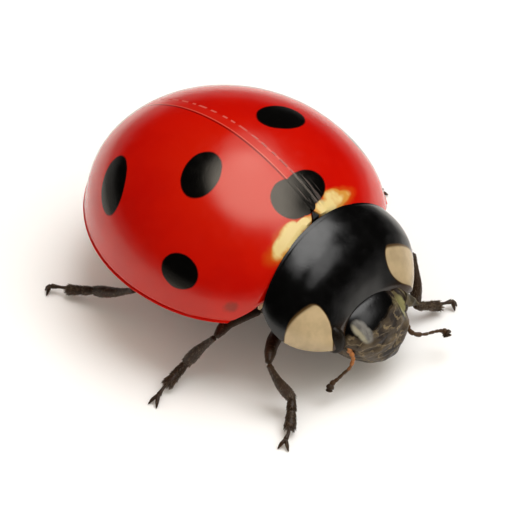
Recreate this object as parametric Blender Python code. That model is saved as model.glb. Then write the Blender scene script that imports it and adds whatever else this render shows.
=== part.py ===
"""A seven-spot ladybird at life size, standing on its six feet with its head lowered.

The head points to -Y, the animal's left side is +X and +Z is up. All the sizes below are in
millimetres, and each mesh is brought to metres as it is made. The model is laid out round the
body's own middle plane, and its origin then goes to the floor under the middle of its box.
"""

import math

import bmesh
import bpy
from mathutils import Matrix, Vector

MM = 0.001
GAP = 0.03  # between neighbouring pieces: a life-size beetle has no room for more
CORE_GAP = 0.07  # between the soft body and the wing cases, which are faceted differently

# The dome of the wing cases. Its side rim is level; reaches are measured from the widest or
# the highest place to the ends, and a power above 2 gives a squarer end.
RIM_Z = 1.75
HALF_WIDTH = 2.84
WIDEST_Y = -0.16
FRONT_REACH, FRONT_POWER = 2.75, 2.36
REAR_REACH, REAR_POWER = 3.21, 1.92
CROWN = 2.20
HIGHEST_Y = 0.10
CROWN_FRONT_REACH, CROWN_FRONT_POWER = 3.21, 1.76
CROWN_REAR_REACH, CROWN_REAR_POWER = WIDEST_Y + REAR_REACH - HIGHEST_Y, 1.98
ARCH_POWER = 2.08
CASE_THICKNESS = 0.5
LIP_WIDTH = 0.05  # the case's turned-out side rim, wider at the shoulder
LIP_SHARE = 0.90
CASE_FRONT_Y = -2.25
CASE_FRONT_BOW = 0.22
SHOULDER_ROUNDING = 0.22
SHOULDER_SHARE = 0.84
SCUTELLUM_HALF_WIDTH = 0.13
SCUTELLUM_LENGTH = 0.17

# The soft body under the wing cases.
BELLY_DEPTH = 0.72
WAIST_Y = 0.42
THORAX_FRONT_Y = -2.36

# The pronotum: its ridge line, its side rim, and the line its rim is set back along.
RIDGE = ((-2.29, 3.05), (-3.22, 2.84), (-3.58, 1.74))
SIDE = ((1.82, 2.04), (2.12, 1.40), (1.14, 1.30))
SIDE_Y = (-2.52, -3.78)
PRONOTUM_ARCH = (1.30, 0.90)
PRONOTUM_THICKNESS = 0.25

PROTHORAX_CENTRE = (0.0, -2.84, 1.56)
PROTHORAX_SIZE = (1.36, 0.74, 0.74)
PROTHORAX_DEPTH = 0.62
PROTHORAX_Y = (-2.40, -3.22)

HEAD_CENTRE = (0.0, -3.60, 0.97)
HEAD_SIZE = (0.86, 0.66, 0.77)
HEAD_POWER = 2.3
BROW_POWER = 1.4
BROW_TAPER, CHIN_TAPER = 0.17, 0.55
MOUTH_Z = 0.56
LIP_Y = -3.90
EYE_CENTRES = {1: (0.75, -3.70, 1.25), -1: (-0.95, -3.58, 1.38)}
EYE_SIZE = (0.19, 0.29, 0.33)

FEELER_RADIUS = 0.25
FEELERS = {
    "right": ((-0.78, -3.82, 1.02), (-0.93, -3.92, 0.74), (-1.22, -3.86, 0.54), (-1.46, -3.92, 0.42)),
    "left": ((0.74, -3.82, 1.02), (0.82, -4.12, 0.72), (1.14, -4.42, 0.66), (1.30, -4.62, 0.56)),
}

# Each leg: inner end of the coxa, hip, knee, ankle and tip of the foot.
LEG_RADII = (0.30, 0.27, 0.25, 0.25, 0.25)
FOOT_Z = 0.20
LEGS = {
    "front_right": ((-0.42, -2.72, 0.98), (-0.86, -2.26, 0.86), (-2.20, -3.04, 1.24),
                    (-1.93, -3.37, 0.42), (-2.74, -3.94, FOOT_Z)),
    "front_left": ((0.42, -2.72, 0.98), (0.86, -2.26, 0.86), (2.02, -3.02, 1.24),
                   (1.58, -3.50, 0.42), (2.28, -3.78, FOOT_Z)),
    "middle_right": ((-0.48, -1.42, 1.00), (-0.98, -1.66, 0.90), (-2.39, -1.78, 1.24),
                     (-2.70, -1.22, 0.42), (-3.55, -1.37, FOOT_Z)),
    "middle_left": ((0.48, -1.42, 1.00), (0.98, -1.60, 0.90), (2.55, -1.42, 1.20),
                    (3.02, -0.92, 0.42), (3.86, -0.60, FOOT_Z)),
    "hind_right": ((-0.46, 0.02, 1.00), (-0.96, 0.06, 0.90), (-2.30, 0.44, 1.02),
                   (-2.32, 1.44, 0.44), (-2.78, 2.22, FOOT_Z)),
    "hind_left": ((0.46, 0.02, 1.00), (0.96, 0.06, 0.90), (2.30, 0.44, 1.02),
                  (2.28, 1.46, 0.44), (2.66, 2.26, FOOT_Z)),
}

ROUND_STEPS = 12
BALL_RINGS = 6

# Colour, roughness of each finish. Nothing on the animal is metallic.
FINISHES = {
    "elytra_red": ((0.520, 0.010, 0.002), 0.25),
    "black_cuticle": ((0.008, 0.008, 0.009), 0.25),
    "head_cuticle": ((0.020, 0.017, 0.012), 0.35),
    "eye_black": ((0.004, 0.004, 0.004), 0.15),
    "belly_cuticle": ((0.012, 0.010, 0.008), 0.45),
    "leg_brown": ((0.035, 0.020, 0.011), 0.50),
}


def collection(name):
    made = bpy.data.collections.new(name)
    bpy.context.scene.collection.children.link(made)
    return made


def material(name, finish):
    colour, roughness = FINISHES[finish]
    made = bpy.data.materials.new(name)
    made.use_nodes = True
    made.diffuse_color = (*colour, 1.0)
    shader = made.node_tree.nodes["Principled BSDF"]
    shader.inputs["Base Color"].default_value = (*colour, 1.0)
    shader.inputs["Roughness"].default_value = roughness
    shader.inputs["Metallic"].default_value = 0.0
    return made


def piece(name, bm, finish, into):
    """Makes the mesh an object, in metres, with its faces pointing outwards."""
    bmesh.ops.recalc_face_normals(bm, faces=bm.faces)
    bmesh.ops.scale(bm, vec=(MM, MM, MM), verts=bm.verts)
    mesh = bpy.data.meshes.new(name)
    bm.to_mesh(mesh)
    bm.free()
    mesh.shade_smooth()
    mesh.set_sharp_from_angle(angle=math.radians(40))
    obj = bpy.data.objects.new(name, mesh)
    into.objects.link(obj)
    if finish:
        mesh.materials.append(material(name, finish))
    return obj


def cutter(name, bm, into):
    obj = piece(name, bm, None, into)
    obj.hide_render = True
    obj.display_type = "WIRE"
    return obj


def cut_out(obj, other):
    boolean = obj.modifiers.new("Clear_" + other.name, "BOOLEAN")
    boolean.operation = "DIFFERENCE"
    boolean.solver = "EXACT"
    boolean.object = other


def cut_out_together(obj, name, others):
    """Cuts out several solids that overlap each other, in one Boolean."""
    group = bpy.data.collections.new(name)
    for other in others:
        group.objects.link(other)
    boolean = obj.modifiers.new("Clear_" + name, "BOOLEAN")
    boolean.operation = "DIFFERENCE"
    boolean.solver = "EXACT"
    boolean.operand_type = "COLLECTION"
    boolean.collection = group


def keep_side(bm, point, normal):
    """Cuts the solid along a plane, keeps the side that the normal points away from, and closes it."""
    everything = bm.verts[:] + bm.edges[:] + bm.faces[:]
    bmesh.ops.bisect_plane(
        bm, geom=everything, dist=1e-6, plane_co=point, plane_no=normal, clear_outer=True
    )
    bmesh.ops.holes_fill(bm, edges=[edge for edge in bm.edges if edge.is_boundary], sides=0)


def bow(value, middle, front_reach, front_power, rear_reach, rear_power):
    """Share of the full size at a place along the body: 1 at the middle and 0 at the ends."""
    reach, power = (front_reach, front_power) if value < middle else (rear_reach, rear_power)
    share = min(abs(value - middle) / reach, 1.0)
    return (1.0 - share ** power) ** (1.0 / power)


def dome_width(y, inset):
    shrink = (HALF_WIDTH - inset) / HALF_WIDTH
    return (HALF_WIDTH - inset) * bow(
        y, WIDEST_Y, FRONT_REACH * shrink, FRONT_POWER, REAR_REACH - inset, REAR_POWER
    )


def dome_height(y, inset):
    return (CROWN - inset) * bow(
        y, HIGHEST_Y, CROWN_FRONT_REACH, CROWN_FRONT_POWER, CROWN_REAR_REACH - inset, CROWN_REAR_POWER
    )


def signed_power(value, exponent):
    return math.copysign(abs(value) ** exponent, value)


def dome_point(y, turn, inset):
    """A point of the dome. Turn is 0 on the middle line and a quarter turn at the side rim."""
    return Vector((
        dome_width(y, inset) * signed_power(math.sin(turn), 2.0 / ARCH_POWER),
        y,
        RIM_Z + dome_height(y, inset) * abs(math.cos(turn)) ** (2.0 / ARCH_POWER),
    ))


def case_front(share):
    """Front edge of the wing cases, from the suture (0) to the rounded shoulder (1)."""
    corner = max((share - SHOULDER_SHARE) / (1.0 - SHOULDER_SHARE), 0.0)
    bowed = CASE_FRONT_Y - CASE_FRONT_BOW * math.sin(math.pi * share ** 1.5)
    return bowed + SHOULDER_ROUNDING * corner ** 2


def shell(across, along, outer, inner):
    """A plate between two surfaces, each given by a function of two shares from 0 to 1."""
    bm = bmesh.new()
    bmesh.ops.create_grid(bm, x_segments=across, y_segments=along, size=0.5)
    outer_verts = bm.verts[:]
    grown = bmesh.ops.extrude_face_region(bm, geom=bm.faces[:])["geom"]
    inner_verts = [item for item in grown if isinstance(item, bmesh.types.BMVert)]
    for verts, surface in ((outer_verts, outer), (inner_verts, inner)):
        for vert in verts:
            vert.co = surface(vert.co.x + 0.5, vert.co.y + 0.5)
    bmesh.ops.remove_doubles(bm, verts=bm.verts, dist=1e-4)
    return bm


def lip(spot, across):
    """How far the case's side rim turns out, away from the middle of the dome."""
    outwards = Vector((spot.x, spot.y - WIDEST_Y, 0.0)).normalized()
    return outwards * LIP_WIDTH * max((across - LIP_SHARE) / (1.0 - LIP_SHARE), 0.0)


def wing_case_shell(side):
    """One half of the dome, as thick as a wing case, from the suture to the side rim."""
    def surface(inset):
        def point(across, along):
            front = case_front(across)
            rear = WIDEST_Y + REAR_REACH - inset
            y = front + (rear - front) * math.sin(0.5 * math.pi * along)
            if along > 0.9999:
                return Vector((side * 0.5 * GAP, rear + (LIP_WIDTH if inset == 0.0 else 0.0), RIM_Z))
            spot = dome_point(y, 0.5 * math.pi * across, inset)
            spot.x += 0.5 * GAP
            if inset == 0.0:
                spot += lip(spot, across)
            return Vector((side * spot.x, spot.y, spot.z))
        return point
    return shell(14, 18, surface(0.0), surface(CASE_THICKNESS))


def scutellum_side(side):
    """Plane of one slanted side of the scutellum, as a point and an outward normal."""
    normal = Vector((side * SCUTELLUM_LENGTH, SCUTELLUM_HALF_WIDTH, 0.0)).normalized()
    tip = Vector((0.0, CASE_FRONT_Y + SCUTELLUM_LENGTH, 0.0))
    return tip, normal


def make_wing_cases(parts):
    for name, side in (("elytron_left", 1), ("elytron_right", -1)):
        bm = wing_case_shell(side)
        tip, normal = scutellum_side(side)
        keep_side(bm, tip + normal * GAP, -normal)
        piece(name, bm, "elytra_red", parts)


def make_scutellum(parts):
    def surface(inset):
        def point(across, along):
            x = (2.0 * across - 1.0) * SCUTELLUM_HALF_WIDTH
            y = CASE_FRONT_Y - 0.01 + along * SCUTELLUM_LENGTH
            return Vector((x, y, dome_point(y, 0.0, inset).z))
        return point
    bm = shell(8, 6, surface(0.0), surface(CASE_THICKNESS))
    for side in (1, -1):
        keep_side(bm, *scutellum_side(side))
    piece("scutellum", bm, "black_cuticle", parts)


def quadratic(points, share):
    """A smooth curve from the first point to the last, pulled towards the middle one."""
    a, b, c = (Vector(point) for point in points)
    return a * (1 - share) ** 2 + b * 2 * share * (1 - share) + c * share ** 2


def pronotum_point(across, along, inset):
    """A point of the pronotum's top, from side to side and from its rear edge to its front edge."""
    ridge_y, ridge_z = quadratic(RIDGE, along)
    side_x, side_z = quadratic(SIDE, along)
    side_y = SIDE_Y[0] + (SIDE_Y[1] - SIDE_Y[0]) * along
    arch = PRONOTUM_ARCH[0] + (PRONOTUM_ARCH[1] - PRONOTUM_ARCH[0]) * min(2.0 * along, 1.0)
    turn = math.pi * (across - 0.5)
    lean = math.sin(turn) ** 2
    return Vector((
        (side_x - inset) * math.sin(turn),
        ridge_y + (side_y - ridge_y) * lean,
        side_z + (ridge_z - inset - side_z) * max(math.cos(turn), 0.0) ** arch,
    ))


def make_pronotum(parts, head_cutters):
    def outer(across, along):
        return pronotum_point(across, along, 0.0)

    def inner(across, along):
        return pronotum_point(across, along, PRONOTUM_THICKNESS)
    obj = piece("pronotum", shell(24, 12, outer, inner), "black_cuticle", parts)
    cut_out_together(obj, "head_and_eyes", head_cutters)


def ball(steps, rings):
    """A unit ball with its poles on the Y axis."""
    bm = bmesh.new()
    upright = Matrix.Rotation(math.radians(90), 4, "X")
    bmesh.ops.create_uvsphere(bm, u_segments=steps, v_segments=rings, radius=1.0, matrix=upright)
    return bm


def body_core():
    """The soft body: the dome's own form inside the wing cases, and a shallow belly below the rim."""
    inset = CASE_THICKNESS + CORE_GAP
    bm = ball(28, 20)
    for vert in bm.verts:
        x, along, z = vert.co
        reach = FRONT_REACH if along < 0.0 else REAR_REACH - inset
        y = WIDEST_Y + along * reach
        turn = math.atan2(x, abs(z))
        width = dome_width(y, inset)
        rise = dome_height(y, inset) if z > 0.0 else -BELLY_DEPTH * width / HALF_WIDTH
        level = abs(math.cos(turn)) ** (2.0 / ARCH_POWER)
        spread = signed_power(math.sin(turn), 2.0 / ARCH_POWER)
        vert.co = (width * spread, y, RIM_Z + rise * level)
    bmesh.ops.remove_doubles(bm, verts=bm.verts, dist=1e-4)
    return bm


def neck_form():
    """A flattened ball for the first part of the thorax, which carries the front legs."""
    bm = ball(24, 14)
    for vert in bm.verts:
        x, y, z = vert.co
        height = PROTHORAX_SIZE[2] if z > 0.0 else PROTHORAX_DEPTH
        size = Vector((x * PROTHORAX_SIZE[0], y * PROTHORAX_SIZE[1], z * height))
        vert.co = Vector(PROTHORAX_CENTRE) + size
    return bm


def make_body(parts, coxa_cutters):
    bm = body_core()
    keep_side(bm, (0.0, WAIST_Y - 0.5 * GAP, 0.0), (0.0, 1.0, 0.0))
    keep_side(bm, (0.0, THORAX_FRONT_Y, 0.0), (0.0, -1.0, 0.0))
    thorax = piece("thorax", bm, "belly_cuticle", parts)
    bm = body_core()
    keep_side(bm, (0.0, WAIST_Y + 0.5 * GAP, 0.0), (0.0, -1.0, 0.0))
    piece("abdomen", bm, "belly_cuticle", parts)
    bm = neck_form()
    keep_side(bm, (0.0, PROTHORAX_Y[0], 0.0), (0.0, 1.0, 0.0))
    keep_side(bm, (0.0, PROTHORAX_Y[1], 0.0), (0.0, -1.0, 0.0))
    prothorax = piece("prothorax", bm, "belly_cuticle", parts)
    for obj, legs in ((prothorax, "front"), (thorax, "front"), (thorax, "middle"), (thorax, "hind")):
        for name, other in coxa_cutters.items():
            if name.startswith(legs):
                cut_out(obj, other)


def head_form(grow):
    """The head as a rounded box with a flatter brow, which narrows towards the mouth."""
    bm = ball(26, 18)
    for vert in bm.verts:
        x, y, z = vert.co
        power = BROW_POWER if y < 0.0 < z else HEAD_POWER
        profile = (abs(y) ** power + abs(z) ** power) ** (1.0 / power)
        size = (abs(x) ** HEAD_POWER + profile ** HEAD_POWER) ** (-1.0 / HEAD_POWER)
        x, y, z = vert.co * size
        vert.co = Vector(HEAD_CENTRE) + Vector((
            x * (HEAD_SIZE[0] + grow) * (1.0 + (BROW_TAPER if z > 0.0 else CHIN_TAPER) * z),
            y * (HEAD_SIZE[1] + grow),
            z * (HEAD_SIZE[2] + grow),
        ))
    return bm


def eye_form(side, grow):
    bm = ball(12, 10)
    for vert in bm.verts:
        vert.co = Vector(EYE_CENTRES[side]) + Vector((
            vert.co.x * (EYE_SIZE[0] + grow),
            vert.co.y * (EYE_SIZE[1] + grow),
            vert.co.z * (EYE_SIZE[2] + grow),
        ))
    return bm


def make_head(parts, eye_cutters):
    """The head capsule, the lip in front of the mouth and the jaws behind it."""
    bm = head_form(0.0)
    keep_side(bm, (0.0, PROTHORAX_Y[1] - GAP, 0.0), (0.0, 1.0, 0.0))
    keep_side(bm, (0.0, 0.0, MOUTH_Z + 0.5 * GAP), (0.0, 0.0, -1.0))
    head = piece("head", bm, "head_cuticle", parts)
    for other in eye_cutters:
        cut_out(head, other)
    for name, facing in (("labrum", 1.0), ("mouthparts", -1.0)):
        bm = head_form(0.0)
        keep_side(bm, (0.0, PROTHORAX_Y[1] - GAP, 0.0), (0.0, 1.0, 0.0))
        keep_side(bm, (0.0, 0.0, MOUTH_Z - 0.5 * GAP), (0.0, 0.0, 1.0))
        keep_side(bm, (0.0, LIP_Y - 0.5 * GAP * facing, 0.0), (0.0, facing, 0.0))
        piece(name, bm, "head_cuticle", parts)


def make_eyes(parts):
    for name, side in (("eye_left", 1), ("eye_right", -1)):
        piece(name, eye_form(side, 0.0), "eye_black", parts)


def rod(start, end, start_radius, end_radius):
    """A round bar with a ball at each end, from one joint of a limb to the next."""
    axis = (end - start).normalized()
    bm = bmesh.new()
    bmesh.ops.create_uvsphere(bm, u_segments=ROUND_STEPS, v_segments=BALL_RINGS, radius=1.0)
    waist = [edge for edge in bm.edges if all(abs(vert.co.z) < 1e-6 for vert in edge.verts)]
    bmesh.ops.split_edges(bm, edges=waist)
    turn = axis.to_track_quat("Z", "Y").to_matrix()
    upper = {vert for face in bm.faces if face.calc_center_median().z > 0.0 for vert in face.verts}
    for vert in bm.verts:
        place, radius = (end, end_radius) if vert in upper else (start, start_radius)
        vert.co = place + turn @ (vert.co * radius)
    bmesh.ops.bridge_loops(bm, edges=[edge for edge in bm.edges if edge.is_boundary])
    return bm


def joint_normal(before, joint, after):
    """Direction of the cut at a joint: half-way between the two bars that meet there."""
    return ((joint - before).normalized() + (after - joint).normalized()).normalized()


def limb(names, path, radii, finish, parts):
    """A jointed limb made as one run of bars and parted with thin cuts at its joints."""
    path = [Vector(point) for point in path]
    made = []
    for index, name in enumerate(names):
        start, end = path[index], path[index + 1]
        bm = rod(start, end, radii[index], radii[index + 1])
        if index > 0:
            normal = joint_normal(path[index - 1], start, end)
            keep_side(bm, start + normal * 0.5 * GAP, -normal)
        if index + 1 < len(names):
            normal = joint_normal(start, end, path[index + 2])
            keep_side(bm, end - normal * 0.5 * GAP, normal)
        keep_side(bm, (0.0, 0.0, 0.0), (0.0, 0.0, -1.0))
        made.append(piece(name, bm, finish, parts))
    return made


def make_legs(parts):
    for leg, path in LEGS.items():
        names = ["leg_" + leg + "_" + part for part in ("coxa", "femur", "tibia", "tarsus")]
        limb(names, path, LEG_RADII, "leg_brown", parts)


def coxa_cutter(leg, cutters):
    start, end = (Vector(point) for point in LEGS[leg][:2])
    form = rod(start, end, LEG_RADII[0] + GAP, LEG_RADII[1] + GAP)
    return cutter("room_for_coxa_" + leg, form, cutters)


def make_feelers(parts, head_cutters):
    """Each antenna in three lengths, cut back where it would enter the head."""
    for side, path in FEELERS.items():
        names = ["antenna_" + side + "_" + part for part in ("base", "stem", "club")]
        for obj in limb(names, path, (FEELER_RADIUS,) * 4, "leg_brown", parts):
            for other in head_cutters:
                cut_out(obj, other)


def stand_on_origin(objects):
    """Moves the meshes so that the origin is on the floor, under the middle of the whole box."""
    bpy.context.view_layer.update()
    graph = bpy.context.evaluated_depsgraph_get()
    points = []
    for obj in objects:
        points += [vert.co.copy() for vert in obj.evaluated_get(graph).data.vertices]
    low = Vector(min(point[axis] for point in points) for axis in range(3))
    high = Vector(max(point[axis] for point in points) for axis in range(3))
    shift = Matrix.Translation((-0.5 * (low.x + high.x), -0.5 * (low.y + high.y), -low.z))
    for mesh in bpy.data.meshes:
        mesh.transform(shift)


def main():
    for obj in list(bpy.data.objects):
        bpy.data.objects.remove(obj, do_unlink=True)
    parts = collection("ladybird")
    cutters = collection("cutters")
    head_cutters = [cutter("room_for_head", head_form(GAP), cutters)]
    eye_cutters = [cutter("room_for_eye_%s" % name, eye_form(side, GAP), cutters)
                   for name, side in (("left", 1), ("right", -1))]
    coxa_cutters = {leg: coxa_cutter(leg, cutters) for leg in LEGS}
    make_wing_cases(parts)
    make_scutellum(parts)
    make_body(parts, coxa_cutters)
    make_pronotum(parts, head_cutters + eye_cutters)
    make_head(parts, eye_cutters)
    make_eyes(parts)
    make_feelers(parts, head_cutters + eye_cutters)
    make_legs(parts)
    stand_on_origin(parts.objects)


main()
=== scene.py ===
"""The looks of a seven-spot ladybird at life size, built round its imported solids.

Shapes are laid out in millimetres on the animal's own plan: X to its left, Y to its tail, Z up,
with the middle plane at x = 0 and the floor at z = 0. Each finished mesh is brought to metres and
to its place in the frame, so every object stays at the origin.
"""

import math
import random

import bmesh
import bpy
from bpy.props import FloatProperty, FloatVectorProperty, IntProperty, PointerProperty
from mathutils import Matrix, Vector, noise


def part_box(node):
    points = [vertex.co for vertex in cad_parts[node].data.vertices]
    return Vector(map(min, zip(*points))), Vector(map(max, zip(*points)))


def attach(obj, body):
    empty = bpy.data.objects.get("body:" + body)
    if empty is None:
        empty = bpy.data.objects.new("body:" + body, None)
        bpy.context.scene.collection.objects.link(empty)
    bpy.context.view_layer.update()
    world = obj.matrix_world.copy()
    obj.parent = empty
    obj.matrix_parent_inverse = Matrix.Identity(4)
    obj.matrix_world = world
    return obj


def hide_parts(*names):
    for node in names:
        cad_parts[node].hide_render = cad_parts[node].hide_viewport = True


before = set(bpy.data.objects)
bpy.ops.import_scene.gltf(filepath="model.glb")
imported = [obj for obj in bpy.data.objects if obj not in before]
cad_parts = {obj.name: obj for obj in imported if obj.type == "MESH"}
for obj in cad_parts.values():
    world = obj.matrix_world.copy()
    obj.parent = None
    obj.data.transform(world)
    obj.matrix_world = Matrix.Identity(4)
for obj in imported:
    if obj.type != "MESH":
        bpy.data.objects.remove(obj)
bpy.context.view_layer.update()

bl_info = {
    "name": "Seven-spot ladybird",
    "version": (1, 0, 0),
    "blender": (4, 5, 0),
    "location": "3D View > Sidebar > Ladybird",
    "description": "Builds a life-size seven-spot ladybird piece by piece",
    "category": "Object",
}

MM = 0.001
ORIGIN = (0.0, 0.0, 0.0)

# The dome of the wing cases.
LEFT_CASE, RIGHT_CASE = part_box("elytron_left"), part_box("elytron_right")
GAP = (LEFT_CASE[0].x - RIGHT_CASE[1].x) / MM
LIP_WIDTH = 0.05
RIM_Z = LEFT_CASE[0].z / MM
CROWN = LEFT_CASE[1].z / MM - RIM_Z
HALF_WIDTH = 0.5 * (LEFT_CASE[1].x - RIGHT_CASE[0].x - GAP * MM) / MM - LIP_WIDTH
WIDEST_Y = -0.16
FRONT_REACH, FRONT_POWER = 2.75, 2.36
REAR_REACH, REAR_POWER = 3.21, 1.92
HIGHEST_Y = 0.10
CROWN_FRONT_REACH, CROWN_FRONT_POWER = 3.21, 1.76
CROWN_REAR_REACH, CROWN_REAR_POWER = WIDEST_Y + REAR_REACH - HIGHEST_Y, 1.98
ARCH_POWER = 2.08
CASE_FRONT_Y = -2.25
CASE_FRONT_BOW = 0.22
SHOULDER_ROUNDING = 0.22
SHOULDER_SHARE = 0.84
FLARE_HEIGHT = 0.37
SCUTELLUM_HALF_WIDTH = 0.08
SCUTELLUM_LENGTH = 0.105
SCUTELLUM_DEPTH = 0.5
SUTURE_GAP = 0.007
STITCH_X = 0.235

# Where the plan's origin lies in the frame, in metres.
PLAN_ORIGIN = Vector((
    0.5 * (LEFT_CASE[0].x + RIGHT_CASE[1].x),
    RIGHT_CASE[1].y - (WIDEST_Y + REAR_REACH + LIP_WIDTH) * MM,
    0.0,
))

# The pronotum: its ridge line, its side rim, and how far back the rim lies.
RIDGE = ((-2.29, 3.05), (-3.22, 2.84), (-3.58, 1.74))
SIDE = ((1.82, 2.04), (2.12, 1.40), (1.14, 1.30))
SIDE_Y = (-2.52, -3.78)
PRONOTUM_ARCH = (1.30, 0.90)
PRONOTUM_THICKNESS = 0.25
# Each pale corner: middle and radii of its rounded patch, then a point and the slope of its rear edge.
PALE_CORNERS = {
    -1: ((-1.63, -3.50), (0.62, 0.42), (-1.27, -3.215), 0.25),
    1: ((1.40, -3.46), (0.63, 0.33), (0.883, -3.24), -0.08),
}

# The pale plate beside each shoulder: its path and half-width.
SHOULDER_PLATES = {
    "left": (((1.28, -2.02, 1.72), (1.35, -2.06, 1.62), (1.44, -2.06, 1.50)), 0.08),
    "right": (((-1.28, -2.04, 1.72), (-1.36, -2.08, 1.62), (-1.44, -2.08, 1.50)), 0.08),
}

BELLY_DEPTH = 0.72
BELLY_INSET = 0.57
BELLY_FRONT_Y = -2.36
# Grooves between the plates of the abdomen, on the middle line.
BELLY_GROOVES_Y = (0.62, 1.05, 1.42, 1.76, 2.07)
NECK_CENTRE = (0.0, -2.84, 1.56)
NECK_SIZE = (1.30, 0.60, 0.70)
NECK_DEPTH = 0.62

HEAD_CENTRE = (0.0, -3.60, 0.97)
HEAD_SIZE = (0.86, 0.66, 0.77)
HEAD_POWER = 2.3
BROW_POWER = 1.4
BROW_TAPER, CHIN_TAPER = 0.17, 0.55
HEAD_BACK_Y = -3.25
MOUTH_Z = 0.43
CHIN_Z = 0.50
LIP_Y = -3.90

EYES = {"left": (0.75, -3.70, 1.25), "right": (-0.95, -3.58, 1.38)}
EYE_SIZE = (0.19, 0.29, 0.33)

# Spots: middle (x, y), half-length, half-width and heading of the long way, for either wing case.
SPOTS = {
    "middle": ((1.14, -0.285), 0.54, 0.375, -19.0),
    "rear": ((1.95, 1.33), 0.64, 0.36, -12.0),
    "side": ((2.53, -1.01), 0.40, 0.345, 98.0),
}
# The two halves of the spot that the wing cases share, and its tip at the scutellum.
SHARED_SPOT = {
    "left": ((0.20, -1.77), 0.51, 0.37, 0.0),
    "right": ((-0.18, -1.78), 0.44, 0.42, 0.0),
    "front": ((-0.03, -2.06), 0.20, 0.13, 0.0),
}

# Bright patches beside the scutellum, given in the same way.
STRAW_PATCHES = (
    ((0.52, -2.22), 0.52, 0.16, -4.0), ((-0.80, -2.26), 0.46, 0.20, 14.0),
    ((0.62, -2.12), 0.24, 0.13, -14.0), ((-0.66, -2.18), 0.26, 0.17, 14.0),
    ((0.24, -2.18), 0.20, 0.12, 0.0), ((-0.30, -2.22), 0.26, 0.11, 0.0),
)

# Joints of each leg: hip, knee, middle of the shin, ankle, end of the pad, root of the claws, claw tips.
LEGS = {
    "front_right": ((-0.86, -2.26, 0.86), (-2.16, -3.00, 1.17), (-2.12, -3.25, 0.80),
                    (-1.96, -3.45, 0.39), (-2.47, -3.86, 0.17), (-2.68, -3.94, 0.12),
                    (-2.89, -3.93, 0.02), (-2.80, -4.13, 0.02)),
    "front_left": ((0.86, -2.26, 0.86), (2.03, -3.01, 1.24), (1.78, -3.34, 0.84),
                   (1.56, -3.51, 0.42), (2.11, -3.71, 0.17), (2.36, -3.79, 0.17),
                   (2.31, -3.92, 0.02), (2.44, -3.86, 0.02)),
    "middle_right": ((-0.98, -1.66, 0.90), (-2.32, -1.75, 1.17), (-2.48, -1.49, 0.79),
                     (-2.66, -1.27, 0.38), (-3.21, -1.27, 0.16), (-3.48, -1.31, 0.12),
                     (-3.71, -1.26, 0.02), (-3.69, -1.46, 0.02)),
    "middle_left": ((0.98, -1.60, 0.90), (2.55, -1.42, 1.20), (2.80, -1.18, 0.80),
                    (3.00, -0.93, 0.38), (3.52, -0.74, 0.17), (3.78, -0.60, 0.12),
                    (4.02, -0.49, 0.02), (3.95, -0.68, 0.02)),
    "hind_right": ((-0.96, 0.06, 0.90), (-2.29, 0.44, 0.98), (-2.34, 0.96, 0.62),
                   (-2.41, 1.47, 0.37), (-2.60, 2.05, 0.16), (-2.74, 2.38, 0.14),
                   (-2.82, 2.46, 0.02), (-2.91, 2.33, 0.02)),
    "hind_left": ((0.96, 0.06, 0.90), (2.29, 0.44, 0.98), (2.32, 0.94, 0.62),
                  (2.36, 1.46, 0.37), (2.54, 2.03, 0.16), (2.66, 2.34, 0.14),
                  (2.74, 2.44, 0.02), (2.82, 2.30, 0.02)),
}

# Joints of each antenna, from its socket to the tip of the club.
FEELERS = {
    "right": ((-0.78, -3.78, 1.16), (-0.77, -3.88, 1.09), (-0.77, -3.95, 0.98), (-0.78, -3.95, 0.86),
              (-0.87, -3.95, 0.75), (-0.98, -3.90, 0.66), (-1.10, -3.86, 0.57), (-1.20, -3.82, 0.51),
              (-1.28, -3.82, 0.43), (-1.32, -3.83, 0.36)),
    "left": ((0.70, -3.86, 1.02), (0.70, -4.03, 0.86), (0.72, -4.19, 0.72), (0.90, -4.34, 0.67),
             (1.10, -4.42, 0.65), (1.24, -4.49, 0.62), (1.29, -4.56, 0.57), (1.27, -4.62, 0.51)),
}

# How much thicker than its stem the base and the club of each antenna are.
FEELER_SWELL = {"right": (1.05, 1.1), "left": (1.25, 1.35)}

# The olive brown lobe in front of each eye: its path and half-width.
CHEEKS = {
    "left": (((0.79, -3.82, 1.36), (0.93, -3.93, 1.27), (1.05, -4.05, 1.19)), 0.17),
    "right": (((-0.72, -3.72, 1.16), (-0.80, -3.80, 1.14), (-0.78, -3.92, 1.12)), 0.07),
}
# Marks and zones on the shell: middle, turn, radii, softness, and size and scale of the edge's wander.
PALE_MARK_TURN = (0.753, 0.0, 0.28)
MARKS = {
    "scrape": ((0.25, -1.80, 3.38), (0.0, 0.0, 0.2), (0.19, 0.36, 0.4), 0.35, 0.05, 3.0),
    # The two olive zones are painted reflection in and beside the left eye.
    "olive": ((0.68, -3.84, 1.42), (0.75, 0.35, 0.30), (0.19, 0.42, 0.34), 0.25, 0.12, 5.0),
    "sheen_bright": ((0.66, -3.92, 1.34), (0.75, 0.20, 0.25), (0.045, 0.20, 0.30), 0.4, 0.08, 5.0),
    # The pale streak is a painted highlight along the pale mark.
    "mark_highlight": ((-0.54, -3.93, 1.43), PALE_MARK_TURN, (0.05, 0.26, 0.25), 0.5, 0.06, 4.0),
}
PALE_MARK_MIDDLE, PALE_MARK_SHIFT = (-0.46, -3.93, 1.45), 0.09

# A hair's half-width at its root and its tip, and how deep its root sits in the skin.
HAIR_ROOT, HAIR_TIP = 0.0055, 0.0010
HAIR_DEPTH = 0.008
# Side of a hair's own patch on the unwrapped leg, as a share of the whole.
HAIR_PATCH = 0.0015
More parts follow.
